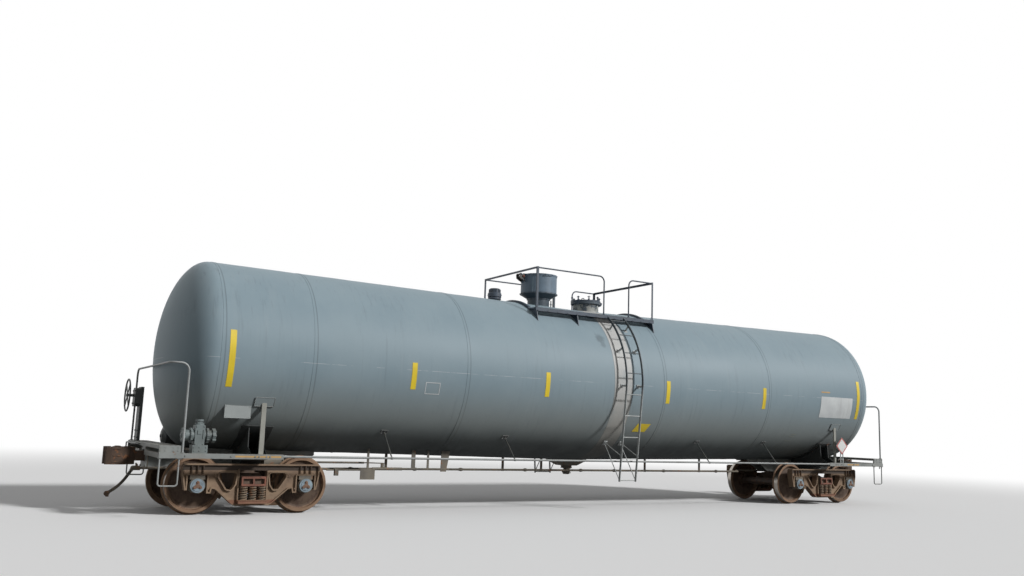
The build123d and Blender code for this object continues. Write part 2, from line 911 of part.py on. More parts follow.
# manway nozzle and its hinged cover
manway_neck = 285.0
manway_bore = 255.0
manway_root = tank_crown - 48.0
manway_flange_low = tank_crown + 162.0
manway_flange_top = manway_flange_low + 45.0
cover_gap = 2.0
cover_thickness = 36.0
cover_crown = 64.0
manway_hinge_x = manway_x + manway_radius + 48.0
manway_hinge_z = manway_flange_top + 16.0
manway_pin_radius = 12.0
with BuildPart() as manway_nozzle:
    with BuildSketch(Plane.XY.offset(manway_root)):
        with Locations((manway_x, 0)):
            Circle(manway_neck)
    extrude(amount=manway_flange_top - manway_root)
    with BuildSketch(Plane.XY.offset(manway_flange_low)):
        with Locations((manway_x, 0)):
            Circle(manway_radius)
    extrude(amount=manway_flange_top - manway_flange_low)
    with BuildSketch(Plane.XY.offset(manway_root)):
        with Locations((manway_x, 0)):
            Circle(manway_bore)
    extrude(amount=manway_flange_top - manway_root, mode=Mode.SUBTRACT)
    add(tank_solid, mode=Mode.SUBTRACT)
    for side in (-1, 1):
        with BuildSketch(Plane.XZ.offset(-side * 60.0 - 9)):
            with BuildLine():
                Polyline(
                    (manway_x + manway_radius - 20, manway_flange_low),
                    (manway_hinge_x, manway_flange_low),
                    (manway_hinge_x + 20, manway_hinge_z - 20),
                    (manway_hinge_x + 20, manway_hinge_z + 20),
                    (manway_hinge_x - 20, manway_hinge_z + 20),
                    (manway_x + manway_radius + 8, manway_flange_top),
                    (manway_x + manway_radius - 20, manway_flange_top),
                    close=True,
                )
            make_face()
        extrude(amount=18)
    with BuildSketch(Plane.XZ.offset(-69.0)):
        with Locations((manway_hinge_x, manway_hinge_z)):
            Circle(manway_pin_radius)
    extrude(amount=138)
manway_nozzle.part.label = "manway_nozzle"
export_step(manway_nozzle.part, "parts/manway_nozzle.step")

eye_count = 8
eye_circle = manway_radius - 22.0
eye_post_radius = 11.0
eye_height = 66.0
eye_ring = 24.0
with BuildPart() as cover_form:
    with BuildSketch(Plane.XZ):
        with BuildLine():
            Line((0, manway_flange_top + cover_gap), (manway_radius, manway_flange_top + cover_gap))
            Line(
                (manway_radius, manway_flange_top + cover_gap),
                (manway_radius, manway_flange_top + cover_thickness),
            )
            Line(
                (manway_radius, manway_flange_top + cover_thickness),
                (manway_bore, manway_flange_top + cover_thickness),
            )
            TangentArc(
                (0, manway_flange_top + cover_crown),
                (manway_bore, manway_flange_top + cover_thickness),
                tangent=(1, 0),
            )
            Line((0, manway_flange_top + cover_crown), (0, manway_flange_top + cover_gap))
        make_face()
    revolve(axis=Axis.Z)
with BuildPart() as manway_cover:
    with Locations((manway_x, 0, 0)):
        add(cover_form.part)
    with Locations((manway_x, 0, manway_flange_top + cover_thickness)):
        with PolarLocations(eye_circle, eye_count, start_angle=180.0 / eye_count):
            Cylinder(
                eye_post_radius,
                eye_height,
                align=(Align.CENTER, Align.CENTER, Align.MIN),
            )
    with Locations((manway_x, 0, manway_flange_top + cover_thickness + eye_height)):
        with PolarLocations(eye_circle, eye_count, start_angle=180.0 / eye_count):
            Cylinder(eye_ring, 14, rotation=(90, 0, 0))
    add(
        block(
            (manway_x + manway_radius - 30, -46, manway_hinge_z - 10),
            (manway_hinge_x + 10, 46, manway_hinge_z + 10),
        )
    )
    with BuildSketch(Plane.XZ.offset(-46)):
        with Locations((manway_hinge_x, manway_hinge_z)):
            Circle(manway_pin_radius + 12)
    extrude(amount=92)
    with BuildSketch(Plane.XZ.offset(-47)):
        with Locations((manway_hinge_x, manway_hinge_z)):
            Circle(manway_pin_radius + pin_clearance)
    extrude(amount=94, mode=Mode.SUBTRACT)
manway_cover.part.label = "manway_cover"
export_step(manway_cover.part, "parts/manway_cover.step")

# relief valve
relief_base = tank_crown - 28.0
relief_profile = [
    # radius, height above the crown
    (85.0, -28.0),
    (85.0, 50.0),
    (135.0, 52.0),
    (135.0, 84.0),
    (118.0, 88.0),
    (142.0, 104.0),
    (142.0, 176.0),
    (128.0, 190.0),
    (116.0, 192.0),
    (116.0, 262.0),
    (100.0, 277.0),
]
with BuildPart() as relief_form:
    with BuildSketch(Plane.XZ):
        with BuildLine():
            Polyline(
                (0, relief_base),
                *[(radius, tank_crown + height) for radius, height in relief_profile],
                (0, tank_crown + relief_profile[-1][1]),
                close=True,
            )
        make_face()
    revolve(axis=Axis.Z)
with BuildPart() as relief_valve:
    with Locations((relief_x, 0, 0)):
        add(relief_form.part)
    add(tank_solid, mode=Mode.SUBTRACT)
relief_valve.part.label = "relief_valve"
export_step(relief_valve.part, "parts/relief_valve.step")

# bottom outlet with its skid
outlet_x = 60.0
outlet_bottom = rail_top + 605.0
with BuildPart() as outlet_form:
    with BuildSketch(Plane.XZ):
        with BuildLine():
            Polyline(
                (0, outlet_bottom),
                (62, outlet_bottom),
                (78, outlet_bottom + 20),
                (78, outlet_bottom + 70),
                (60, outlet_bottom + 80),
                (60, outlet_bottom + 120),
                (110, outlet_bottom + 130),
                (120, outlet_bottom + 190),
                (120, rail_top + 960.0),
                (0, rail_top + 960.0),
                close=True,
            )
        make_face()
    revolve(axis=Axis.Z)
with BuildPart() as bottom_outlet:
    with Locations((outlet_x, 0, 0)):
        add(outlet_form.part)
    # skid plate that shields the valve
    with BuildSketch(Plane.XZ):
        with BuildLine():
            Polyline(
                (outlet_x - 420, rail_top + 960.0),
                (outlet_x - 420, rail_top + 895.0),
                (outlet_x - 170, rail_top + 790.0),
                (outlet_x + 170, rail_top + 790.0),
                (outlet_x + 420, rail_top + 895.0),
                (outlet_x + 420, rail_top + 960.0),
                close=True,
            )
        make_face()
    extrude(amount=150, both=True)
    add(tank_solid, mode=Mode.SUBTRACT)
bottom_outlet.part.label = "bottom_outlet"
export_step(bottom_outlet.part, "parts/bottom_outlet.step")

# control valve on its bracket, near side of end b
valve_x = -(platform_inner - 275.0)
valve_y = -1368.0
valve_z = side_sill_top + 275.0
bracket_half = 75.0
valve_covers = [
    # x from the bracket, radius, width of each turned part
    (-105.0, 92.0, 30.0),
    (-135.0, 112.0, 30.0),
    (-215.0, 84.0, 80.0),
    (-255.0, 104.0, 40.0),
    (75.0, 90.0, 34.0),
    (109.0, 112.0, 32.0),
    (141.0, 80.0, 58.0),
    (199.0, 100.0, 50.0),
]
with BuildPart() as control_valve:
    add(
        block(
            (valve_x - 105, -side_y, side_sill_top),
            (valve_x + 125, valve_y + 100, side_sill_top + 128),
        )
    )
    with BuildSketch(Plane.XZ.offset(-valve_y - 100)):
        with Locations((valve_x, side_sill_top + 280)):
            RectangleRounded(2 * bracket_half, 320, 24)
    extrude(amount=200)
    for dx, radius, width in valve_covers:
        with BuildSketch(Plane.YZ.offset(valve_x + dx)):
            with Locations((valve_y, valve_z)):
                Circle(radius)
        extrude(amount=width)
    for height, radius, depth in ((150.0, 70.0, 40.0), (190.0, 48.0, 30.0), (220.0, 62.0, 30.0)):
        with BuildSketch(Plane.XY.offset(valve_z + height)):
            with Locations((valve_x, valve_y)):
                Circle(radius)
        extrude(amount=depth)
control_valve.part.label = "control_valve"
export_step(control_valve.part, "parts/control_valve.step")

# air reservoir on two cross angles, far side of end b
reservoir_y = 1150.0
reservoir_radius = 185.0
reservoir_gap = 45.0
reservoir_x = -(truck_centre + 680.0)
reservoir_reach = tank_radius + reservoir_radius + reservoir_gap
reservoir_z = tank_height(reservoir_x) - sqrt(reservoir_reach ** 2 - reservoir_y ** 2)
reservoir_ends = (reservoir_x - 420.0, reservoir_x + 420.0)
reservoir_dish = 60.0
carrier_x = (reservoir_x - 250.0, reservoir_x + 220.0)
with BuildPart() as air_reservoir:
    with BuildSketch(Plane.XY.offset(reservoir_z)):
        with BuildLine():
            Polyline(
                (reservoir_ends[0], reservoir_y),
                (reservoir_ends[0], reservoir_y + reservoir_radius * 0.5),
                (reservoir_ends[0] + reservoir_dish * 0.5, reservoir_y + reservoir_radius * 0.88),
                (reservoir_ends[0] + reservoir_dish, reservoir_y + reservoir_radius),
                (reservoir_ends[1] - reservoir_dish, reservoir_y + reservoir_radius),
                (reservoir_ends[1] - reservoir_dish * 0.5, reservoir_y + reservoir_radius * 0.88),
                (reservoir_ends[1], reservoir_y + reservoir_radius * 0.5),
                (reservoir_ends[1], reservoir_y),
                close=True,
            )
        make_face()
    revolve(axis=Axis((0, reservoir_y, reservoir_z), (1, 0, 0)))
air_reservoir.part.label = "air_reservoir"
export_step(air_reservoir.part, "parts/air_reservoir.step")

with BuildPart() as reservoir_carrier:
    for x in carrier_x:
        add(block((x - 30, sill_half_width, beam_clear_z), (x + 30, arm_end, beam_clear_z + 10)))
        add(block((x - 30, sill_half_width, beam_clear_z), (x - 20, arm_end, side_sill_top)))
        add(
            block(
                (x - 20, reservoir_y - 130, beam_clear_z + 10),
                (x + 20, reservoir_y + 130, reservoir_z - 60),
            )
        )
    add(air_reservoir.part, mode=Mode.SUBTRACT)
reservoir_carrier.part.label = "reservoir_carrier"
export_step(reservoir_carrier.part, "parts/reservoir_carrier.step")

# brake cylinder beside the stub sill of end b, its lever, rods and hangers
cylinder_y = -420.0
cylinder_z = rail_top + 815.0
cylinder_radius = 105.0
cylinder_start = -truck_centre + 320.0
cylinder_length = 340.0
rod_y = -560.0
hanger_x = -truck_centre + 3800.0
brake_rods = [
    # start and end from the truck's centre, y, height above the rail, radius
    (640.0, 2190.0, cylinder_y, 815.0, 18.0),
    (1430.0, 2110.0, rod_y, 690.0, 13.0),
    (2300.0, 2890.0, rod_y, 714.0, 27.0),
    (2880.0, 3880.0, rod_y, 714.0, 13.0),
]
rod_blocks = [
    # start and end from the truck's centre, low and high y from the rods, low and high z above the rail
    (1580.0, 1650.0, -28.0, 28.0, 590.0, 708.0),
    (2064.0, 2346.0, -24.0, -12.0, 523.0, 721.0),
    (2090.0, 2320.0, -24.0, 20.0, 676.0, 721.0),
    (2190.0, 2230.0, -8.0, 8.0, 700.0, 1180.0),
    (3078.0, 3156.0, -8.0, 8.0, 700.0, 1180.0),
    (3400.0, 3440.0, -8.0, 8.0, 700.0, 1180.0),
    (2470.0, 2520.0, -20.0, 20.0, 700.0, 823.0),
]
lever_outline = [
    # x from the truck's centre, y
    (2100.0, -370.0),
    (2170.0, -462.0),
    (2500.0, -592.0),
    (2534.0, -560.0),
    (2500.0, -528.0),
    (2260.0, -350.0),
]
with BuildPart() as brake_cylinder:
    with BuildSketch(Plane.YZ.offset(cylinder_start)):
        with Locations((cylinder_y, cylinder_z)):
            Circle(cylinder_radius)
    extrude(amount=cylinder_length)
    with BuildSketch(Plane.YZ.offset(cylinder_start + cylinder_length - 22)):
        with Locations((cylinder_y, cylinder_z)):
            Circle(cylinder_radius + 18)
    extrude(amount=22)
    # bracket to the stub sill
    add(
        block(
            (cylinder_start + 40, cylinder_y, cylinder_z + 50),
            (cylinder_start + cylinder_length - 60, -sill_half_width, cylinder_z + 80),
        )
    )
    for start, end, y, height, radius in brake_rods:
        with BuildSketch(Plane.YZ.offset(-truck_centre + start)):
            with Locations((y, rail_top + height)):
                Circle(radius)
        extrude(amount=end - start)
    for start, end, low_dy, high_dy, low_z, high_z in rod_blocks:
        add(
            block(
                (-truck_centre + start, rod_y + low_dy, rail_top + low_z),
                (-truck_centre + end, rod_y + high_dy, rail_top + high_z),
            )
        )
    with BuildSketch(Plane.XY.offset(cylinder_z - 8)):
        with BuildLine():
            Polyline(*[(-truck_centre + x, y) for x, y in lever_outline], close=True)
        make_face()
    extrude(amount=16)
    # tapered hanger of the long rod
    with BuildSketch(Plane.XZ.offset(-rod_y - 8)):
        with BuildLine():
            Polyline(
                (hanger_x - 100, rail_top + 1180.0),
                (hanger_x + 100, rail_top + 1180.0),
                (hanger_x + 10, rail_top + 670.0),
                (hanger_x - 108, rail_top + 670.0),
                close=True,
            )
        make_face()
    extrude(amount=16)
    add(tank_solid, mode=Mode.SUBTRACT)
brake_cylinder.part.label = "brake_cylinder"
export_step(brake_cylinder.part, "parts/brake_cylinder.step")

# brake pipe along the car with hangers, angle cocks and hoses
pipe_z = rail_top + 695.0
pipe_radius = 21.0
pipe_mid_y = -200.0
pipe_sill_y = 300.0
pipe_end_y = 420.0
pipe_end_x = striker_x + 150.0
hanger_places = [-4200.0, -1640.0, -710.0, 2050.0, 3670.0]
bracket_places = [truck_centre - 620.0, truck_centre + 720.0]
cock_radius = 37.0
cock_end_x = pipe_end_x + 90.0
hose_radius = 24.0
nipple_radius = 29.0
nipple_length = 50.0
hose_run = 112.0
hose_route = [(cock_end_x + nipple_length * 0.5, pipe_end_y, pipe_z - nipple_length * sin(radians(60)))]
hose_turns = [
    # angle below the horizontal and y of each run's end
    (60.0, pipe_end_y),
    (54.0, pipe_end_y - 5.0),
    (46.0, pipe_end_y - 15.0),
    (36.0, pipe_end_y - 25.0),
]
for angle, run_y in hose_turns:
    last_x, last_y, last_z = hose_route[-1]
    run_x = last_x + hose_run * cos(radians(angle))
    hose_route.append((run_x, run_y, last_z - hose_run * sin(radians(angle))))
hose_radii = []
for number in range(1, len(hose_route) - 1):
    run_in = Vector(*hose_route[number]) - Vector(*hose_route[number - 1])
    run_out = Vector(*hose_route[number + 1]) - Vector(*hose_route[number])
    half_turn = radians(run_in.get_angle(run_out)) / 2
    hose_radii.append(0.45 * min(run_in.length, run_out.length) / tan(half_turn))
print("hose bend radii", [round(radius) for radius in hose_radii])
with BuildPart() as brake_pipe:
    add(
        pipe(
            [
                (-pipe_end_x, -pipe_end_y, pipe_z),
                (-(striker_x - 110), -pipe_end_y, pipe_z),
                (-(striker_x - 290), -pipe_sill_y, pipe_z),
                (-(sill_inner_end - 200), -pipe_sill_y, pipe_z),
                (-(sill_inner_end - 400), pipe_mid_y, pipe_z),
                (sill_inner_end - 700, pipe_mid_y, pipe_z),
                (sill_inner_end - 250, pipe_sill_y, pipe_z),
                (striker_x - 290, pipe_sill_y, pipe_z),
                (striker_x - 110, pipe_end_y, pipe_z),
                (pipe_end_x, pipe_end_y, pipe_z),
            ],
            pipe_radius,
            60.0,
        )
    )
    for x in hanger_places:
        add(
            block(
                (x - 25, pipe_mid_y - 8, pipe_z),
                (x + 25, pipe_mid_y + 8, tank_under(x, pipe_mid_y) + 30),
            )
        )
    for x in bracket_places:
        for end in (-1, 1):
            low = min(end * (sill_half_width + flange_out), end * pipe_sill_y)
            high = max(end * (sill_half_width + flange_out), end * pipe_sill_y)
            add(block((end * x - 25, low, sill_bottom), (end * x + 25, high, sill_bottom + 14)))
    for end in (-1, 1):
        x = end * pipe_end_x
        y = end * pipe_end_y
        cock_plane = Plane(origin=(x - end * 20, y, pipe_z), x_dir=(0, 1, 0), z_dir=(end, 0, 0))
        with BuildSketch(cock_plane):
            Circle(cock_radius)
        extrude(amount=cock_end_x - pipe_end_x + 20)
        with Locations((end * cock_end_x, y, pipe_z)):
            Sphere(cock_radius)
        with BuildSketch(Plane.XY.offset(pipe_z)):
            with Locations((x + end * 35, y)):
                Circle(20)
        extrude(amount=62)
        # bracket from the angle cock up to the end beam
        add(
            block(
                (min(end * (striker_x + 20), end * (striker_x + 30)), y - 30, pipe_z),
                (max(end * (striker_x + 20), end * (striker_x + 30)), y + 30, side_sill_bottom),
            )
        )
        nipple_start = (end * cock_end_x, y, pipe_z)
        nipple_end = (end * hose_route[0][0], y, hose_route[0][2])
        add(pipe([nipple_start, nipple_end], nipple_radius))
    add(tank_solid, mode=Mode.SUBTRACT)
brake_pipe.part.label = "brake_pipe"
export_step(brake_pipe.part, "parts/brake_pipe.step")

# train line hoses, each hanging from its angle cock to its coupling
with BuildPart() as train_hose_a:
    with BuildLine() as hose_path:
        FilletPolyline(*hose_route, radius=hose_radii)
    with BuildSketch(Plane(origin=hose_path.line @ 0, z_dir=hose_path.line % 0)):
        Circle(hose_radius)
    sweep()
train_hose_a.part.label = "train_hose_a"
export_step(train_hose_a.part, "parts/train_hose_a.step")

with BuildPart() as train_hose_b:
    add(train_hose_a.part.rotate(Axis.Z, 180))
train_hose_b.part.label = "train_hose_b"
export_step(train_hose_b.part, "parts/train_hose_b.step")

# hose couplings: a ferrule, the flat head and its locking lug
ferrule_length = 26.0
coupling_reach = 42.0
coupling_radius = 40.0
coupling_half = 24.0
hose_end = hose_path.line @ 1
hose_aim = hose_path.line % 1
coupling_centre = hose_end + hose_aim * coupling_reach
with BuildPart() as hose_coupling_a:
    with BuildSketch(Plane(origin=hose_end, z_dir=hose_aim)):
        Circle(hose_radius + 5)
    extrude(amount=ferrule_length)
    coupling_y = coupling_centre.Y
    head_plane = Plane(
        origin=(coupling_centre.X, coupling_y + coupling_half, coupling_centre.Z),
        x_dir=(1, 0, 0),
        z_dir=(0, -1, 0),
    )
    with BuildSketch(head_plane):
        Circle(coupling_radius)
        with Locations((-10, -32)):
            Rectangle(44, 34)
    extrude(amount=2 * coupling_half)
    with BuildSketch(Plane(head_plane.origin, x_dir=(1, 0, 0), z_dir=(0, 1, 0))):
        Circle(coupling_radius - 14)
    extrude(amount=8)
    with BuildSketch(Plane(head_plane.origin, x_dir=(1, 0, 0), z_dir=(0, 1, 0))):
        Circle(coupling_radius - 22)
    extrude(amount=8, mode=Mode.SUBTRACT)
hose_coupling_a.part.label = "hose_coupling_a"
export_step(hose_coupling_a.part, "parts/hose_coupling_a.step")

with BuildPart() as hose_coupling_b:
    add(hose_coupling_a.part.rotate(Axis.Z, 180))
hose_coupling_b.part.label = "hose_coupling_b"
export_step(hose_coupling_b.part, "parts/hose_coupling_b.step")

# hand brake on its column, far side of end b
brake_y = 1200.0
wheel_z = rail_top + 1885.0
wheel_x = -(platform_end + 130.0)
wheel_radius = 280.0
wheel_rim = 14.0
with BuildPart() as hand_brake:
    add(
        block(
            (wheel_x + 200, brake_y - 150, platform_top),
            (wheel_x + 250, brake_y + 150, wheel_z + 155),
        )
    )
    with BuildSketch(Plane.YZ.offset(wheel_x + 110)):
        with Locations((brake_y, wheel_z - 30)):
            RectangleRounded(260, 330, 60)
    extrude(amount=90)
    with BuildSketch(Plane.YZ.offset(wheel_x - 20)):
        with Locations((brake_y, wheel_z)):
            Circle(26)
    extrude(amount=130)
    with BuildSketch(Plane.XY.offset(wheel_z)):
        with Locations((wheel_x, brake_y + wheel_radius)):
            Circle(wheel_rim)
    revolve(axis=Axis((wheel_x, brake_y, wheel_z), (1, 0, 0)))
    with BuildSketch(Plane.YZ.offset(wheel_x - 8)):
        with Locations((brake_y, wheel_z)):
            Circle(52)
            with PolarLocations(wheel_radius / 2, 4, start_angle=45):
                Rectangle(wheel_radius, 30)
    extrude(amount=16)
hand_brake.part.label = "hand_brake"
export_step(hand_brake.part, "parts/hand_brake.step")

# uncoupling levers, one at each end
lever_rod_radius = 12.0
lever_rod_x = platform_end + 42.0
lever_rod_z = rail_top + 1062.0
lever_rod_out = 1400.0
with BuildPart() as uncoupling_levers:
    for end in (-1, 1):
        add(
            pipe(
                [
                    (end * lever_rod_x, -end * lever_rod_out, lever_rod_z - 220),
                    (end * lever_rod_x, -end * lever_rod_out, lever_rod_z),
                    (end * lever_rod_x, -end * 90, lever_rod_z),
                    (end * (lever_rod_x + 120), -end * 90, lever_rod_z),
                ],
                lever_rod_radius,
                40.0,
            )
        )
        for y in (1250.0, 300.0):
            add(
                block(
                    (min(end * platform_end, end * lever_rod_x), -end * y - 12, lever_rod_z - 12),
                    (max(end * platform_end, end * lever_rod_x), -end * y + 12, lever_rod_z + 12),
                )
            )
uncoupling_levers.part.label = "uncoupling_levers"
export_step(uncoupling_levers.part, "parts/uncoupling_levers.step")

# sign holders: a blank diamond on two legs and a blank board on the tank
diamond_x = truck_centre + 94.0
diamond_z = rail_top + 1377.0
diamond_side = 290.0
board_x = truck_centre + 410.0
board_z = rail_top + 1645.0
board_size = (420.0, 205.0)
sign_plate = 6.0
board_y = 1345.0
with BuildPart() as sign_holders:
    for end in (-1, 1):
        side = -end
        face_y = side * (side_y + 20)
        diamond_plane = Plane(
            origin=(end * diamond_x, face_y, diamond_z),
            x_dir=(1, 0, 0),
            z_dir=(0, side, 0),
        )
        with BuildSketch(diamond_plane):
            Rectangle(diamond_side, diamond_side, rotation=45)
        extrude(amount=sign_plate)
        for dx in (-40.0, 40.0):
            add(
                block(
                    (end * diamond_x + dx - 14, min(face_y, face_y - side * 10), side_sill_top),
                    (end * diamond_x + dx + 14, max(face_y, face_y - side * 10), diamond_z + 60),
                )
            )
    for end in (-1, 1):
        side = end
        board_plane = Plane(
            origin=(end * board_x, side * board_y, board_z),
            x_dir=(1, 0, 0),
            z_dir=(0, side, 0),
        )
        with BuildSketch(board_plane):
            Rectangle(*board_size)
        extrude(amount=sign_plate)
        for dx in (-120.0, 120.0):
            inner = tank_side(board_x, board_z) - 30
            add(
                block(
                    (end * board_x + dx - 12, min(side * inner, side * board_y), board_z - 12),
                    (end * board_x + dx + 12, max(side * inner, side * board_y), board_z + 12),
                )
            )
    add(tank_solid, mode=Mode.SUBTRACT)
sign_holders.part.label = "sign_holders"
export_step(sign_holders.part, "parts/sign_holders.step")

# couplers: head, shank and the lugs that hold the knuckle
shank_half_width = 65.0
shank_half_height = 82.0
shank_eye = 82.0
head_half_height = 140.0
lug_low = 108.0
knuckle_half_height = 103.0
knuckle_pivot = (pulling_face - 225.0, -140.0)
knuckle_hub = 74.0
hub_clearance = 9.0
head_outline = [
    # plan view at end a: x from the pulling face, y
    (-475.0, -65.0),
    (-475.0, 65.0),
    (-395.0, 120.0),
    (-325.0, 190.0),
    (-235.0, 228.0),
    (-95.0, 236.0),
    (-17.0, 216.0),
    (-3.0, 172.0),
    (-35.0, 140.0),
    (-105.0, 112.0),
    (-133.0, 60.0),
    (-155.0, -10.0),
    (-195.0, -40.0),
    (-255.0, -55.0),
    (-305.0, -110.0),
    (-315.0, -185.0),
    (-375.0, -165.0),
]
lug_outline = [
    (-395.0, -140.0),
    (-305.0, -205.0),
    (-225.0, -218.0),
    (-225.0, -62.0),
    (-255.0, -40.0),
    (-395.0, -40.0),
]
knuckle_outline = [
    (-233.0, -213.0),
    (-135.0, -212.0),
    (-55.0, -190.0),
    (-10.0, -140.0),
    (0.0, -70.0),
    (-17.0, -30.0),
    (-60.0, -22.0),
    (-97.0, -50.0),
    (-135.0, -98.0),
    (-215.0, -100.0),
]
knuckle_nose_x = pulling_face - 123.0
shank_end = pulling_face - 455.0
with BuildPart() as coupler_a:
    with BuildSketch(Plane.XY.offset(coupler_z - shank_half_height)):
        with Locations(((coupler_pivot_x + shank_end) / 2, 0)):
            Rectangle(shank_end - coupler_pivot_x, 2 * shank_half_width)
        with Locations((coupler_pivot_x, 0)):
            Circle(shank_eye)
    extrude(amount=2 * shank_half_height)
    with BuildSketch(Plane.XY.offset(coupler_z - head_half_height)):
        with BuildLine():
            Polyline(*[(pulling_face + x, y) for x, y in head_outline], close=True)
        make_face()
    extrude(amount=2 * head_half_height)
    with BuildSketch(Plane.XY.offset(coupler_z - lug_low)):
        with Locations(knuckle_pivot):
            Circle(knuckle_hub + hub_clearance)
    extrude(amount=2 * lug_low, mode=Mode.SUBTRACT)
    for low in (coupler_z - head_half_height, coupler_z + lug_low):
        with BuildSketch(Plane.XY.offset(low)):
            with BuildLine():
                Polyline(*[(pulling_face + x, y) for x, y in lug_outline], close=True)
            make_face()
            with Locations(knuckle_pivot):
                Circle(78)
        extrude(amount=head_half_height - lug_low)
    with BuildSketch(Plane.XY.offset(coupler_z - head_half_height - 12)):
        with Locations(knuckle_pivot):
            Circle(knuckle_pin_radius)
    extrude(amount=2 * head_half_height + 24)
    with BuildSketch(Plane.XY.offset(coupler_z - shank_half_height - 1)):
        with Locations((coupler_pivot_x, 0)):
            Circle(coupler_pin_radius + pin_clearance)
    extrude(amount=2 * shank_half_height + 2, mode=Mode.SUBTRACT)
coupler_a.part.label = "coupler_a"
export_step(coupler_a.part, "parts/coupler_a.step")

with BuildPart() as coupler_b:
    add(coupler_a.part.rotate(Axis.Z, 180))
coupler_b.part.label = "coupler_b"
export_step(coupler_b.part, "parts/coupler_b.step")

with BuildPart() as knuckle_a:
    with BuildSketch(Plane.XY.offset(coupler_z - knuckle_half_height)):
        with BuildLine():
            Polyline(*[(pulling_face + x, y) for x, y in knuckle_outline], close=True)
        make_face()
        with Locations(knuckle_pivot):
            Circle(knuckle_hub)
    extrude(amount=2 * knuckle_half_height)
    with BuildSketch(Plane.XY.offset(coupler_z - head_half_height)):
        with BuildLine():
            Polyline(
                (knuckle_nose_x, -208.0),
                *[(pulling_face + x, y) for x, y in knuckle_outline[2:8]],
                (knuckle_nose_x, -84.0),
                close=True,
            )
        make_face()
    extrude(amount=2 * head_half_height)
    with BuildSketch(Plane.XY.offset(coupler_z - knuckle_half_height - 1)):
        with Locations(knuckle_pivot):
            Circle(knuckle_pin_radius + pin_clearance)
    extrude(amount=2 * knuckle_half_height + 2, mode=Mode.SUBTRACT)
knuckle_a.part.label = "knuckle_a"
export_step(knuckle_a.part, "parts/knuckle_a.step")

with BuildPart() as knuckle_b:
    add(knuckle_a.part.rotate(Axis.Z, 180))
knuckle_b.part.label = "knuckle_b"
export_step(knuckle_b.part, "parts/knuckle_b.step")

# truck side frame: a cast frame with an I-shaped rim round its windows
frame_half = 75.0
frame_rim = 22.0
frame_recess = 42.0
frame_outline = [
    # half of the outline from the bottom centre, x and height above the rail
    (0.0, 137.0),
    (270.0, 137.0),
    (330.0, 165.0),
    (600.0, 400.0),
    (655.0, 410.0),
    (670.0, 335.0),
    (738.0, 335.0),
    (738.0, 618.0),
    (1040.0, 618.0),
    (1040.0, 385.0),
    (1080.0, 385.0),
    (1125.0, 620.0),
    (1125.0, 770.0),
    (1095.0, 800.0),
    (0.0, 800.0),
]
side_window = [
    (265.0, 660.0),
    (545.0, 660.0),
    (552.0, 590.0),
    (425.0, 400.0),
    (350.0, 385.0),
    (290.0, 470.0),
]
window_corner = 42.0
bolster_opening = [
    (225.0, 700.0),
    (225.0, 240.0),
    (219.0, 215.0),
    (-219.0, 215.0),
    (-225.0, 240.0),
    (-225.0, 700.0),
]
seat_half_length = 238.0
seat_half_width = 150.0
seat_low = rail_top + 170.0
seat_high = rail_top + 215.0
with BuildSketch() as window_sketch:
    with BuildLine():
        Polyline(*[(x, rail_top + z) for x, z in side_window], close=True)
    make_face()
    fillet(window_sketch.vertices(), window_corner)
    mirror(about=Plane.YZ)
with BuildPart() as side_frame:
    with BuildSketch(Plane.XZ) as frame_sketch:
        with BuildLine():
            Polyline(*[(x, rail_top + z) for x, z in frame_outline], close=True)
        make_face()
        mirror(about=Plane.YZ)
        add(window_sketch.sketch_local, mode=Mode.SUBTRACT)
        with BuildLine():
            Polyline(*[(x, rail_top + z) for x, z in bolster_opening], close=True)
        make_face(mode=Mode.SUBTRACT)
    extrude(amount=frame_half, both=True)
    with Locations((0, 0, (seat_low + seat_high) / 2)):
        Box(2 * seat_half_length, 2 * seat_half_width, seat_high - seat_low)
side_frame_form = side_frame.part
with BuildPart() as side_frame:
    add(side_frame_form)
    for side in (-1, 1):
        with BuildSketch(Plane.XZ.offset(side * frame_half)):
            add(offset(frame_sketch.sketch_local.faces()[0], amount=-frame_rim, mode=Mode.PRIVATE))
        extrude(amount=-side * frame_recess, mode=Mode.SUBTRACT)
side_frame_form = side_frame.part


# everything of one truck, made at both truck centres
frame_places = [journal_centre, -journal_centre]
spring_radius = 68.0
spring_x = [-148.0, 0.0, 148.0]
spring_y = [-72.0, 72.0]
bolster_low = rail_top + 450.0
bolster_end_top = rail_top + 605.0
bolster_mid_top = rail_top + 640.0
bolster_belly = rail_top + 300.0
bolster_half_width = 200.0
bolster_half_length = 1135.0
bowl_floor = centre_plate_z - 0.5
bowl_inner = centre_plate_radius + 2.0
bowl_outer = 230.0
bowl_top = rail_top + 690.0
pocket_pitch = 190.0
pocket_size = 158.0
pocket_height = 84.0
pocket_depth = 55.0
side_bearing_y = 635.0
side_bearing_top = rail_top + 783.0
adapter_half_width = 78.0
adapter_half_length = 118.0
beam_x = 345.0
beam_z = rail_top + 355.0
shoe_gap = 7.0
shoe_thickness = 40.0
shoe_half_width = 42.0
wheel_mid_y = back_face + rim_width / 2 + 8.0

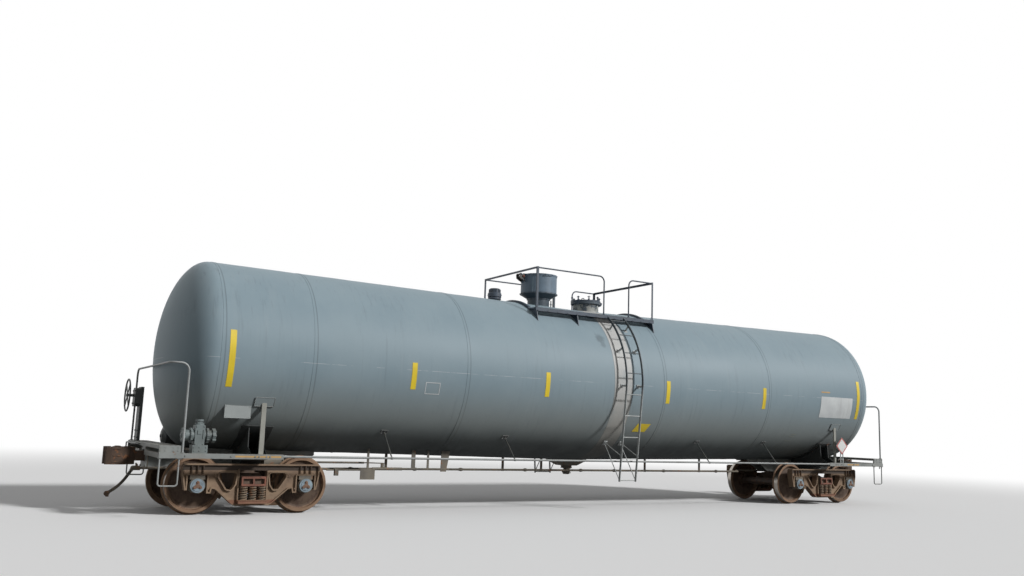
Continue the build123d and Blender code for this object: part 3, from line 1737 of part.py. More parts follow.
wheel_profile = [
    # distance from the car's centre line, radius; the flange is on the inside
    (back_face, tread_radius - rim_thickness),
    (back_face, tread_radius + 8.0),
    (back_face + 6.0, tread_radius + 22.0),
    (back_face + 16.0, tread_radius + flange_height),
    (back_face + 24.0, tread_radius + 20.0),
    (back_face + flange_width, tread_radius + 2.0),
    (back_face + rim_width - 6.0, tread_radius - 4.0),
    (back_face + rim_width, tread_radius - 10.0),
    (back_face + rim_width, tread_radius - rim_thickness),
    (back_face + 100.0, tread_radius - rim_thickness - 12.0),
    (back_face + 84.0, tread_radius - rim_thickness - 60.0),
    (back_face + 118.0, hub_radius + 40.0),
    (back_face + hub_length, hub_radius - 4.0),
    (back_face + hub_length, wheel_seat_radius),
    (back_face, wheel_seat_radius),
    (back_face, hub_radius - 4.0),
    (back_face + 84.0, hub_radius + 30.0),
    (back_face + 54.0, tread_radius - rim_thickness - 70.0),
    (back_face + 40.0, tread_radius - rim_thickness - 14.0),
]
journal_end = journal_centre + bearing_width / 2 + 4.5
axle_profile = [
    # distance from the car's centre line, radius
    (0.0, axle_radius),
    (back_face - 60.0, axle_radius + 4.0),
    (back_face - 30.0, wheel_seat_radius),
    (back_face + hub_length, wheel_seat_radius),
    (back_face + hub_length + 8.0, journal_radius + 12.0),
    (journal_centre - bearing_width / 2 - 5.5, journal_radius + 12.0),
    (journal_centre - bearing_width / 2 - 5.5, journal_radius),
    (journal_end, journal_radius),
    (journal_end, end_cap_radius),
    (journal_end + end_cap_width - 8.0, end_cap_radius),
    (journal_end + end_cap_width - 8.0, end_cap_radius - 22.0),
    (journal_end + end_cap_width, end_cap_radius - 28.0),
    (journal_end + end_cap_width, 30.0),
    (journal_end + end_cap_width - 12.0, 26.0),
    (journal_end + end_cap_width - 12.0, 0.0),
    (0.0, 0.0),
]

with BuildPart() as wheel:
    with BuildSketch(Plane.YZ):
        with BuildLine():
            Polyline(*wheel_profile, close=True)
        make_face()
    revolve(axis=Axis.Y)
    mirror(about=Plane.XZ)
wheel_pair_form = wheel.part

with BuildPart() as axle:
    with BuildSketch(Plane.YZ):
        with BuildLine():
            Polyline(*axle_profile, close=True)
        make_face()
    revolve(axis=Axis.Y)
    mirror(about=Plane.XZ)
axle_form = axle.part

with BuildPart() as bearing:
    # cup, with the adapter that the side frame rests on
    with BuildSketch(Plane.XZ):
        Circle(bearing_radius)
        with Locations((0, (bearing_radius + 618.0 - tread_radius) / 2)):
            Rectangle(2 * adapter_half_length, 618.0 - tread_radius - bearing_radius + 60.0)
        with Locations((0, 618.0 - tread_radius + 20.0)):
            Rectangle(2 * adapter_half_length + 20, 40, mode=Mode.SUBTRACT)
    extrude(amount=bearing_width / 2, both=True)
    with BuildSketch(Plane.XZ):
        Circle(journal_radius + journal_clearance)
    extrude(amount=bearing_width / 2 + 1, both=True, mode=Mode.SUBTRACT)
bearing_form = bearing.part

truck_names = [
    # suffix, x of the truck centre
    ("a", truck_centre),
    ("b", -truck_centre),
]
for name, centre_x in truck_names:
    with BuildPart() as side_frames:
        for y in frame_places:
            with Locations((centre_x, y, 0)):
                add(side_frame_form)
    side_frames.part.label = f"side_frames_{name}"
    export_step(side_frames.part, f"parts/side_frames_{name}.step")

    with BuildPart() as truck_bolster:
        with BuildSketch(Plane.YZ.offset(centre_x - bolster_half_width)):
            with BuildLine():
                Polyline(
                    (0, bolster_belly),
                    (450, bolster_belly),
                    (820, bolster_low),
                    (bolster_half_length, bolster_low),
                    (bolster_half_length, bolster_end_top),
                    (820, bolster_end_top),
                    (740, bolster_mid_top),
                    (0, bolster_mid_top),
                    close=True,
                )
            make_face()
            mirror(about=Plane.YZ)
        extrude(amount=2 * bolster_half_width)
        with BuildSketch(Plane.XY.offset(bolster_mid_top)):
            with Locations((centre_x, 0)):
                Circle(bowl_outer)
        extrude(amount=bowl_top - bolster_mid_top)
        with BuildSketch(Plane.XY.offset(bowl_floor)):
            with Locations((centre_x, 0)):
                Circle(bowl_inner)
        extrude(amount=bowl_top - bowl_floor, mode=Mode.SUBTRACT)
        for y in (-side_bearing_y, side_bearing_y):
            add(
                block(
                    (centre_x - 120, y - 48, bolster_mid_top),
                    (centre_x + 120, y + 48, side_bearing_top),
                )
            )
        for side in (-1, 1):
            for dx in (-pocket_pitch / 2, pocket_pitch / 2):
                add(
                    block(
                        (
                            centre_x + dx - pocket_size / 2,
                            min(side * bolster_half_length, side * (bolster_half_length - pocket_depth)),
                            (bolster_low + bolster_end_top) / 2 - pocket_height / 2,
                        ),
                        (
                            centre_x + dx + pocket_size / 2,
                            max(side * bolster_half_length, side * (bolster_half_length - pocket_depth)),
                            (bolster_low + bolster_end_top) / 2 + pocket_height / 2,
                        ),
                    ),
                    mode=Mode.SUBTRACT,
                )
    truck_bolster.part.label = f"truck_bolster_{name}"
    export_step(truck_bolster.part, f"parts/truck_bolster_{name}.step")

    with BuildPart() as truck_springs:
        for y in frame_places:
            for dx in spring_x:
                for dy in spring_y:
                    with BuildSketch(Plane.XY.offset(seat_high)):
                        with Locations((centre_x + dx, y + dy)):
                            Circle(spring_radius)
                    extrude(amount=bolster_low - seat_high)
    truck_springs.part.label = f"truck_springs_{name}"
    export_step(truck_springs.part, f"parts/truck_springs_{name}.step")

    with BuildPart() as bearings:
        for y in frame_places:
            for dx in (-half_wheelbase, half_wheelbase):
                with Locations((centre_x + dx, y, axle_z)):
                    add(bearing_form)
    bearings.part.label = f"bearings_{name}"
    export_step(bearings.part, f"parts/bearings_{name}.step")

    with BuildPart() as brake_beams:
        for dx in (-1, 1):
            x = centre_x + dx * beam_x
            paddle = journal_centre - frame_half
            add(block((x - 18, -paddle, beam_z - 18), (x + 18, paddle, beam_z + 18)))
            add(bar((x, -680, beam_z), (x - dx * 85, 0, beam_z), 30, 30))
            add(bar((x, 680, beam_z), (x - dx * 85, 0, beam_z), 30, 30))
            for side in (-1, 1):
                with BuildSketch(Plane.XZ.offset(-side * wheel_mid_y - shoe_half_width)):
                    with BuildLine():
                        inner_r = tread_radius + shoe_gap
                        outer_r = inner_r + shoe_thickness
                        start = 180 if dx > 0 else 0
                        turn = 24 if dx > 0 else -24
                        centre = (centre_x + dx * half_wheelbase, axle_z)
                        a1 = CenterArc(centre, inner_r, start - 4 * dx, turn + 8 * dx)
                        a2 = CenterArc(centre, outer_r, start - 4 * dx, turn + 8 * dx)
                        Line(a1 @ 0, a2 @ 0)
                        Line(a1 @ 1, a2 @ 1)
                    make_face()
                extrude(amount=2 * shoe_half_width)
                low_x = min(x, x + dx * 60)
                add(
                    block(
                        (low_x, side * wheel_mid_y - 30, beam_z - 30),
                        (low_x + 60, side * wheel_mid_y + 30, beam_z + 60),
                    )
                )
    brake_beams.part.label = f"brake_beams_{name}"
    export_step(brake_beams.part, f"parts/brake_beams_{name}.step")

    for number, dx in ((1, -half_wheelbase), (2, half_wheelbase)):
        with BuildPart() as wheels:
            with Locations((centre_x + dx, 0, axle_z)):
                add(wheel_pair_form)
        wheels.part.label = f"wheels_{name}{number}"
        export_step(wheels.part, f"parts/wheels_{name}{number}.step")

        with BuildPart() as axle_set:
            with Locations((centre_x + dx, 0, axle_z)):
                add(axle_form)
        axle_set.part.label = f"axle_{name}{number}"
        export_step(axle_set.part, f"parts/axle_{name}{number}.step")
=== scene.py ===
import json
from math import atan, cos, pi, radians, sin, sqrt, tan
import bmesh
import bpy
import numpy as np
from mathutils import Matrix, Vector


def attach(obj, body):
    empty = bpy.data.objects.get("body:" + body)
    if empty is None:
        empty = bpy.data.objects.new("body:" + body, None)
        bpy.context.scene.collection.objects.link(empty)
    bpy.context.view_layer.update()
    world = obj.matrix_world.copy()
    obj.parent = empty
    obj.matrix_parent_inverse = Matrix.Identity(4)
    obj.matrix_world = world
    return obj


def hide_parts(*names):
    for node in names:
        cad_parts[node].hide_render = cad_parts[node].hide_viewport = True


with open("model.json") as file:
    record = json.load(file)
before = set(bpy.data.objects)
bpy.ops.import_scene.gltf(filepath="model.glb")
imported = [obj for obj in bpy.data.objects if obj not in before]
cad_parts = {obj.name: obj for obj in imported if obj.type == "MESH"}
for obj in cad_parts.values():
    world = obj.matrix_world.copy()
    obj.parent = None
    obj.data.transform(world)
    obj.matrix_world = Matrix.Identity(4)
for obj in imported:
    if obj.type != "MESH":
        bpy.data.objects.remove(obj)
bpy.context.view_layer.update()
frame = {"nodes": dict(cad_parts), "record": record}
nodes = frame["nodes"]
print("frame loaded:", len(nodes), "nodes")

# metres, X along the car with end a at +X: sizes and places that several pieces share
car = {
    "tankRadius": 1.610,
    "tankAxisZ": 2.5466,
    "tankSlope": atan(0.0136),
    "tankTangent": 7.755,
    "headDepth": 0.660,
    "manwayX": 0.480,
    "housingX": -0.770,
    "reliefX": -1.860,
    "strutX": [-4.655, -2.145, 2.765, 4.815],
    "railY": 1.500,
    "truckX": 6.920,
    "halfWheelbase": 0.889,
    "axleZ": 0.4858,
    "journalY": 1.0035,
}
ends = (("a", 1), ("b", -1))
ways = (-1, 1)

view = {"place": (-11.181, -16.2558, 1.5469), "yaw": 0.5398, "pitch": 0.1544, "roll": 0.0339, "lens": 31.81}


def placeCamera():
    # ahead from yaw and pitch, then right and top turned about it by the roll
    camera = bpy.data.objects.new("camera", bpy.data.cameras.new("camera"))
    bpy.context.scene.collection.objects.link(camera)
    camera.data.lens = view["lens"]
    camera.data.sensor_width = 36.0
    camera.data.sensor_fit = "HORIZONTAL"
    camera.data.clip_end = 300.0
    yaw, pitch, roll = view["yaw"], view["pitch"], view["roll"]
    ahead = np.array([sin(yaw) * cos(pitch), cos(yaw) * cos(pitch), sin(pitch)])
    level = np.array([cos(yaw), -sin(yaw), 0.0])
    above = np.cross(level, ahead)
    right = cos(roll) * level + sin(roll) * above
    top = -sin(roll) * level + cos(roll) * above
    turn = Matrix([[right[i], top[i], -ahead[i]] for i in range(3)])
    camera.rotation_euler = turn.to_euler()
    camera.location = view["place"]
    bpy.context.scene.camera = camera


placeCamera()
print("camera placed")

# a shape is (points, faces): an N x 3 array and a list of arrays of point numbers


def flipped(shape):
    # the same shape with its faces turned the other way
    return shape[0], [f[:, ::-1].copy() for f in shape[1]]


def halfTurned(shape):
    # the same shape at the other end of the car, turned half round about the vertical
    return shape[0] * np.array([-1.0, -1.0, 1.0]), shape[1]


def joined(shapes):
    points, faces, base = [], [], 0
    for shapePoints, shapeFaces in shapes:
        points.append(shapePoints)
        faces += [f + base for f in shapeFaces]
        base += len(shapePoints)
    return np.concatenate(points), faces


def gridShape(points, wrapRows=False, wrapColumns=False):
    # rows x columns x 3 places; place (i, j) is joined to (i + 1, j) and (i, j + 1)
    rows, columns = points.shape[:2]
    index = np.arange(rows * columns).reshape(rows, columns)
    if wrapRows:
        index = np.vstack([index, index[:1]])
    if wrapColumns:
        index = np.hstack([index, index[:, :1]])
    corners = [index[:-1, :-1], index[:-1, 1:], index[1:, 1:], index[1:, :-1]]
    return points.reshape(-1, 3), [np.stack(corners, axis=-1).reshape(-1, 4)]


def boxShape(low, high):
    # corner = low + (high - low) * (0 or 1 on each axis)
    low, high = np.minimum(low, high), np.maximum(low, high)
    unit = np.array([
        [0, 0, 0], [1, 0, 0], [1, 1, 0], [0, 1, 0], [0, 0, 1], [1, 0, 1], [1, 1, 1], [0, 1, 1],
    ])
    quads = [[0, 3, 2, 1], [4, 5, 6, 7], [0, 1, 5, 4], [1, 2, 6, 5], [2, 3, 7, 6], [3, 0, 4, 7]]
    return low + (high - low) * unit, [np.array(quads)]


def rodShape(starts, ends, radius, sides=12, topScale=1.0, turn=0.0):
    # any number of straight rods: start + share * (end - start) + radius * (cos t * side + sin t * across)
    starts = np.atleast_2d(np.asarray(starts, float))
    ends = np.atleast_2d(np.asarray(ends, float))
    along = ends - starts
    along = along / np.linalg.norm(along, axis=1, keepdims=True)
    helper = np.where(np.abs(along[:, 2:3]) < 0.9, [[0.0, 0.0, 1.0]], [[1.0, 0.0, 0.0]])
    side = np.cross(along, helper)
    side /= np.linalg.norm(side, axis=1, keepdims=True)
    across = np.cross(along, side)
    t = np.linspace(0, 2 * pi, sides, endpoint=False)[None, :, None] + turn
    ring = (np.cos(t) * side[:, None] + np.sin(t) * across[:, None]) * radius
    points = np.concatenate([starts[:, None] + ring, ends[:, None] + ring * topScale], axis=1)
    k = np.arange(sides)
    wall = np.stack([k, (k + 1) % sides, (k + 1) % sides + sides, k + sides], axis=-1)
    lids = np.stack([k[::-1], k + sides])
    base = 2 * sides * np.arange(len(starts))[:, None, None]
    return points.reshape(-1, 3), [(wall + base).reshape(-1, 4), (lids + base).reshape(-1, sides)]


def tubeShape(path, radius, up=(0, 0, 1), sides=14, closed=False):
    # a circle carried along a path: place + radius * (cos t * side + sin t * over)
    path = np.asarray(path, float)
    if closed:
        tangent = np.roll(path, -1, axis=0) - np.roll(path, 1, axis=0)
    else:
        tangent = np.gradient(path, axis=0)
    tangent /= np.linalg.norm(tangent, axis=1, keepdims=True)
    side = np.cross(tangent, np.broadcast_to(np.asarray(up, float), tangent.shape))
    side /= np.linalg.norm(side, axis=1, keepdims=True)
    over = np.cross(side, tangent)
    t = np.linspace(0, 2 * pi, sides, endpoint=False)[None, :, None]
    points = path[:, None] + radius * (np.cos(t) * side[:, None] + np.sin(t) * over[:, None])
    shape = gridShape(points, wrapRows=closed, wrapColumns=True)
    if not closed:
        last = len(path) * sides
        shape[1].append(np.arange(sides)[None, ::-1])
        shape[1].append(np.arange(last - sides, last)[None])
    return flipped(shape)


def onAxis(first, second, height, axis):
    # two measures across an axis and one along it, put in x, y, z order
    order = {"Z": (first, second, height), "X": (height, first, second), "Y": (second, height, first)}
    return np.stack(order[axis], axis=-1)


def turnedShape(profile, centre, axis="Z", sides=24, way=1, lobes=1.0):
    # a profile of (height, radius) turned about an axis, way -1 for the opposite direction:
    # centre + way * height * axis + radius * lobes * (cos t, sin t)
    profile = np.asarray(profile, float)
    t = np.linspace(0, 2 * pi, sides, endpoint=False)
    height = np.broadcast_to(way * profile[:, :1], (len(profile), sides))
    radius = profile[:, 1:] * lobes
    points = onAxis(radius * np.cos(t), radius * np.sin(t), height, axis) + np.asarray(centre, float)
    shape = gridShape(points, wrapColumns=True)
    return shape if way > 0 else flipped(shape)


def capShape(steps, centre, axis="Z", sides=24, way=1):
    # a turned shape closed to its axis at its first and last step
    top = [(steps[-1][0], 0.0)] if steps[-1][1] else []
    return turnedShape([(steps[0][0], 0.0), *steps, *top], centre, axis, sides, way)


def hexHeads(centres, axis, across, height):
    # bolt heads: six-sided rods with a slightly smaller top face
    centres = np.atleast_2d(np.asarray(centres, float))
    axis = np.broadcast_to(np.asarray(axis, float), centres.shape)
    return rodShape(centres - axis * 0.002, centres + axis * height, across / sqrt(3), sides=6, topScale=0.9)


def boltRow(xs, ys, zs, axis, across, height):
    # hex heads at every combination of x, y and z
    return hexHeads(np.array(np.meshgrid(xs, ys, zs)).reshape(3, -1).T, axis, across, height)


def ringPlaces(centre, radius, count, axis="Z", turn=0.0):
    # evenly spaced places on a circle: centre + radius * (cos t, sin t), and the outward directions
    t = np.arange(count) * 2 * pi / count + turn
    outward = onAxis(np.cos(t), np.sin(t), np.zeros(count), axis)
    return np.asarray(centre, float) + radius * outward, outward


def ringShape(centre, radius, wire, axis="Z", sides=48, around=10):
    # a closed ring: a circle of places with a tube round it
    up = {"Z": (0, 0, 1), "X": (1, 0, 0), "Y": (0, 1, 0)}[axis]
    return tubeShape(ringPlaces(centre, radius, sides, axis)[0], wire, up, around, closed=True)


def makePiece(name, shapes, finish, body="car", smoothAngle=35.0, bevel=0.0):
    # one object from the shapes: doubles merged, edges bevelled, flat below the smooth angle
    points, faces = joined(shapes)
    mesh = bpy.data.meshes.new(name)
    sizes = np.concatenate([np.full(len(f), f.shape[1], np.int32) for f in faces])
    corners = np.concatenate([f.reshape(-1) for f in faces]).astype(np.int32)
    starts = np.concatenate([[0], np.cumsum(sizes)[:-1]]).astype(np.int32)
    mesh.vertices.add(len(points))
    mesh.vertices.foreach_set("co", points.astype(np.float32).reshape(-1))
    mesh.loops.add(len(corners))
    mesh.loops.foreach_set("vertex_index", corners)
    mesh.polygons.add(len(sizes))
    mesh.polygons.foreach_set("loop_start", starts)
    mesh.update(calc_edges=True)
    whole = bmesh.new()
    whole.from_mesh(mesh)
    bmesh.ops.remove_doubles(whole, verts=whole.verts, dist=2e-6)
    whole.to_mesh(mesh)
    whole.free()
    mesh.validate()
    piece = bpy.data.objects.new(name, mesh)
    bpy.context.scene.collection.objects.link(piece)
    mesh.materials.append(finish)
    if bevel:
        edge = piece.modifiers.new("edge", "BEVEL")
        edge.width = bevel
        edge.segments = 2
        edge.limit_method = "ANGLE"
        edge.angle_limit = radians(40)
    mesh.shade_smooth()
    with bpy.context.temp_override(object=piece, active_object=piece, selected_editable_objects=[piece]):
        bpy.ops.object.shade_smooth_by_angle(angle=radians(smoothAngle), keep_sharp_edges=False)
    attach(piece, body)
    return piece


def axisHeight(x):
    # the tank's axis rises from mid-car to both ends: height at mid-car + |x| * slope
    return car["tankAxisZ"] + np.abs(x) * tan(car["tankSlope"])


def tankTop(x, y):
    # height of the jacket's top: axis height + square root of (radius squared - y squared)
    return axisHeight(x) + np.sqrt(car["tankRadius"] ** 2 - y**2)


def tankSide(x, z, lift):
    # the jacket's side from mid-car: square root of ((radius + lift) squared - (z - axis) squared)
    return np.sqrt((car["tankRadius"] + lift) ** 2 - (z - axisHeight(x)) ** 2)


def jacketPoint(u, angle, offset=0.0, end=1):
    # u runs along the sloping axis from mid-car, angle up from the horizontal on the +Y side:
    # place = u * axis + (radius + offset) * (cos angle * Y + sin angle * up), head radius from its ellipse
    u, angle, offset = np.broadcast_arrays(u, angle, offset)
    share = np.clip((u - car["tankTangent"]) / car["headDepth"], 0, 1)
    radius = (car["tankRadius"] + offset) * np.sqrt(1 - share**2)
    slope = car["tankSlope"]
    limit = radius * np.sin(angle) * tan(slope)
    u = np.where(u <= 0, limit, np.maximum(u, limit))
    x = u * cos(slope) - radius * np.sin(angle) * sin(slope)
    z = car["tankAxisZ"] + u * sin(slope) + radius * np.sin(angle) * cos(slope)
    return np.stack([end * x, radius * np.cos(angle), z], axis=-1)


def jacketPatch(xRange, zRange, side, lift, columns, rows):
    # a thin patch: x and z on a grid, y from the jacket's side, lifted off the paint
    x, z = np.meshgrid(np.linspace(*xRange, columns), np.linspace(*zRange, rows))
    shape = gridShape(np.stack([x, side * tankSide(x, z, lift), z], axis=-1))
    return shape if side < 0 else flipped(shape)


def rgb(hexText):
    # written sRGB to the linear values that the sockets take
    values = [int(hexText[i : i + 2], 16) / 255 for i in (0, 2, 4)]
    return tuple(v / 12.92 if v <= 0.04045 else ((v + 0.055) / 1.055) ** 2.4 for v in values) + (1.0,)


class Nodes:
    # short names for the shader nodes of one tree; a value is a number, a hex colour or a socket
    def __init__(self, tree):
        self.tree = tree
        self.place = self.add("TexCoord").outputs["Object"]
        self.x, self.y, self.z = self.add("SeparateXYZ", Vector=self.place).outputs

    def give(self, socket, value):
        if isinstance(value, bpy.types.NodeSocket):
            self.tree.links.new(value, socket)
        else:
            socket.default_value = rgb(value) if isinstance(value, str) else value

    def add(self, kind, settings=None, first=(), **values):
        # the first sockets in order, then the others by name
        node = self.tree.nodes.new("ShaderNode" + kind)
        for key, value in (settings or {}).items():
            setattr(node, key, value)
        for socket, value in zip(node.inputs, first):
            self.give(socket, value)
        for key, value in values.items():
            self.give(node.inputs[key.replace("_", " ")], value)
        return node

    def use(self, group, **values):
        return self.add("Group", {"node_tree": group}, **values).outputs

    def maths(self, operation, a, b=0.0, clamp=False):
        return self.add("Math", {"operation": operation, "use_clamp": clamp}, (a, b)).outputs[0]

    def plus(self, a, b):
        return self.maths("ADD", a, b)

    def minus(self, a, b):
        return self.maths("SUBTRACT", a, b)

    def times(self, a, b):
        return self.maths("MULTIPLY", a, b)

    def size(self, a):
        return self.maths("ABSOLUTE", a)

    def reach(self, a, b):
        # square root of (a squared + b squared)
        return self.maths("SQRT", self.plus(self.times(a, a), self.times(b, b)))

    def vector(self, operation, *sockets):
        return self.add("VectorMath", {"operation": operation}, sockets).outputs["Value"]

    def ramp(self, value, low, high, toLow=0.0, toHigh=1.0, kind="SMOOTHSTEP"):
        ranges = {"From_Min": low, "From_Max": high, "To_Min": toLow, "To_Max": toHigh}
        return self.add("MapRange", {"interpolation_type": kind}, Value=value, **ranges).outputs[0]

    def mix(self, factor, a, b):
        node = self.add("Mix", {"data_type": "RGBA"})
        for index, value in ((0, factor), (6, a), (7, b)):
            self.give(node.inputs[index], value)
        return node.outputs[2]

    def noise(self, scale, detail=5.0, roughness=0.55, stretch=(1.0, 1.0, 1.0)):
        place = self.add("Mapping", Vector=self.place, Scale=stretch).outputs[0]
        return self.add("TexNoise", Vector=place, Scale=scale, Detail=detail, Roughness=roughness).outputs[0]

    def normal(self, axis):
        # one measure of the surface's own direction: 0 for x, 1 for y, 2 for z
        return self.add("SeparateXYZ", Vector=self.add("NewGeometry").outputs["Normal"]).outputs[axis]


class Group(Nodes):
    # a shader group: inputs by name and value, outputs by name and kind
    def __init__(self, name, inputs, outputs):
        tree = bpy.data.node_groups.new(name, "ShaderNodeTree")
        for label, value in inputs.items():
            socket = tree.interface.new_socket(label, in_out="INPUT", socket_type="NodeSocketFloat")
            socket.default_value = value
        for label, kind in outputs.items():
            tree.interface.new_socket(label, in_out="OUTPUT", socket_type="NodeSocket" + kind)
        super().__init__(tree)
        self.given = tree.nodes.new("NodeGroupInput").outputs
        self.out = tree.nodes.new("NodeGroupOutput").inputs


def buildDustGroup():
    # dust: more of it low down, on upward faces, and in noisy patches
    group = Group("roadDust", {"Low": 0.2, "High": 1.2, "Patch Scale": 2.5, "Amount": 0.6}, {"Mask": "Float"})
    given = group.given
    low = group.ramp(group.z, given["Low"], given["High"], 1.0, 0.0, "LINEAR")
    patches = group.ramp(group.noise(given["Patch Scale"], 8.0, 0.65), 0.32, 0.68)
    facing = group.ramp(group.normal(2), 0.1, 0.9, 0.0, 0.55)
    whole = group.plus(group.times(low, patches), group.times(facing, patches))
    group.give(group.out["Mask"], group.maths("MULTIPLY", whole, given["Amount"], clamp=True))
    return group.tree


def buildStreakGroup():
    # rain streaks: noise stretched along the height, broken up by a second noise
    group = Group("rainStreaks", {"Scale": 9.0, "Low": 0.48, "High": 0.75, "Amount": 0.5}, {"Mask": "Float"})
    given = group.given
    lines = group.noise(given["Scale"], 6.0, 0.6, (1.0, 0.25, 0.045))
    lines = group.ramp(lines, given["Low"], given["High"], kind="LINEAR")
    broken = group.ramp(group.noise(0.9, 4.0, 0.5), 0.35, 0.65)
    mask = group.maths("MULTIPLY", group.times(lines, broken), given["Amount"], clamp=True)
    group.give(group.out["Mask"], mask)
    return group.tree


def buildRustGroup():
    # rust: thresholded noise, and a colour that varies finely inside it
    outputs = {"Mask": "Float", "Colour": "Color"}
    group = Group("rustPatches", {"Scale": 6.0, "Cover": 0.35, "Soft": 0.08}, outputs)
    given = group.given
    edge = group.minus(1.0, given["Cover"])
    spread = group.ramp(group.noise(given["Scale"], 9.0, 0.7), 0.25, 0.75, kind="LINEAR")
    mask = group.ramp(spread, edge, group.plus(edge, given["Soft"]), kind="LINEAR")
    group.give(group.out["Mask"], mask)
    fine = group.noise(70.0, 4.0, 0.7)
    group.give(group.out["Colour"], group.mix(fine, (0.085, 0.032, 0.014, 1.0), (0.30, 0.125, 0.050, 1.0)))
    return group.tree


def buildGrainGroup():
    # grain: a fine height for cast or sprayed surfaces, and a soft mottle for their colour
    outputs = {"Height": "Float", "Mottle": "Float"}
    group = Group("surfaceGrain", {"Scale": 60.0, "Mottle Scale": 4.0}, outputs)
    group.give(group.out["Height"], group.noise(group.given["Scale"], 5.0, 0.6))
    mottle = group.noise(group.given["Mottle Scale"], 7.0, 0.62)
    group.give(group.out["Mottle"], group.ramp(mottle, 0.3, 0.7))
    return group.tree


def buildWearGroup():
    # edge wear: where the rounded normal leaves the real one, broken by noise
    inputs = {"Radius": 0.006, "Low": 0.02, "High": 0.25, "Amount": 0.8}
    group = Group("edgeWear", inputs, {"Mask": "Float"})
    given = group.given
    rounded = group.add("Bevel", {"samples": 3}, Radius=given["Radius"]).outputs[0]
    near = group.vector("DOT_PRODUCT", rounded, group.add("NewGeometry").outputs["Normal"])
    edge = group.ramp(group.minus(1.0, near), given["Low"], given["High"], kind="LINEAR")
    broken = group.ramp(group.noise(28.0, 5.0, 0.5), 0.4, 0.6)
    mask = group.maths("MULTIPLY", group.times(edge, broken), given["Amount"], clamp=True)
    group.give(group.out["Mask"], mask)
    return group.tree


dustGroup = buildDustGroup()
streakGroup = buildStreakGroup()
rustGroup = buildRustGroup()
grainGroup = buildGrainGroup()
wearGroup = buildWearGroup()
print("shader groups built")


class Finish(Nodes):
    # a material and its shader's own sockets
    def __init__(self, name, roughness, specular):
        self.finish = bpy.data.materials.new(name)
        self.finish.use_nodes = True
        super().__init__(self.finish.node_tree)
        self.shader = self.tree.nodes["Principled BSDF"]
        self.inputs = self.shader.inputs
        self.inputs["Roughness"].default_value = roughness
        self.inputs["Specular IOR Level"].default_value = specular


class Paint(Finish):
    # two mottled tones, colours laid over them, then a bump from the grain
    def __init__(self, name, tones, roughness=0.5, grain=90.0, mottle=4.0, specular=0.5):
        super().__init__(name, roughness, specular)
        self.grain = self.use(grainGroup, Scale=grain, Mottle_Scale=mottle)
        self.colour = self.mottled(*tones)

    def mottled(self, first, second):
        return self.mix(self.grain["Mottle"], first, second)

    def lay(self, mask, colour):
        self.colour = self.mix(mask, self.colour, colour)

    def streaks(self, colour, **values):
        self.lay(self.use(streakGroup, **values)["Mask"], colour)

    def rust(self, scale, cover, soft, colour=None):
        # in the rust's own colours, or in a given one
        rust = self.use(rustGroup, Scale=scale, Cover=cover, Soft=soft)
        self.lay(rust["Mask"], colour or rust["Colour"])
        return rust["Mask"]

    def done(self, strength, distance=0.001, height=None):
        self.give(self.inputs["Base Color"], self.colour)
        height = self.grain["Height"] if height is None else height
        bump = self.add("Bump", Strength=strength, Distance=distance, Height=height)
        self.give(self.inputs["Normal"], bump.outputs[0])
        return self.finish


def paintedSteel(name, look):
    # two close tones, then streaks, rust, wear and dust over them, each with its own amount
    roughness = look.get("roughness", 0.5)
    paint = Paint(name, look["tones"], roughness, mottle=3.0)
    height = paint.grain["Height"]
    if "streaks" in look:
        paint.streaks("5c5348", Scale=look.get("streakScale", 9.0), Amount=look["streaks"])
    if "rust" in look:
        rust = paint.rust(look.get("rustScale", 6.0), look["rust"], 0.10)
        height = paint.plus(height, paint.times(rust, 0.6))
    if "wear" in look:
        paint.lay(paint.use(wearGroup, Amount=look["wear"])["Mask"], "6b4a36")
    if "dust" in look:
        dust = paint.use(dustGroup, High=look.get("dustHigh", 1.3), Amount=look["dust"])["Mask"]
        paint.lay(dust, look.get("dustColour", "9a8d78"))
        rough = paint.maths("ADD", roughness, paint.times(dust, 0.35), clamp=True)
        paint.give(paint.inputs["Roughness"], rough)
    return paint.done(look.get("bump", 0.25), look.get("bumpDepth", 0.001), height)


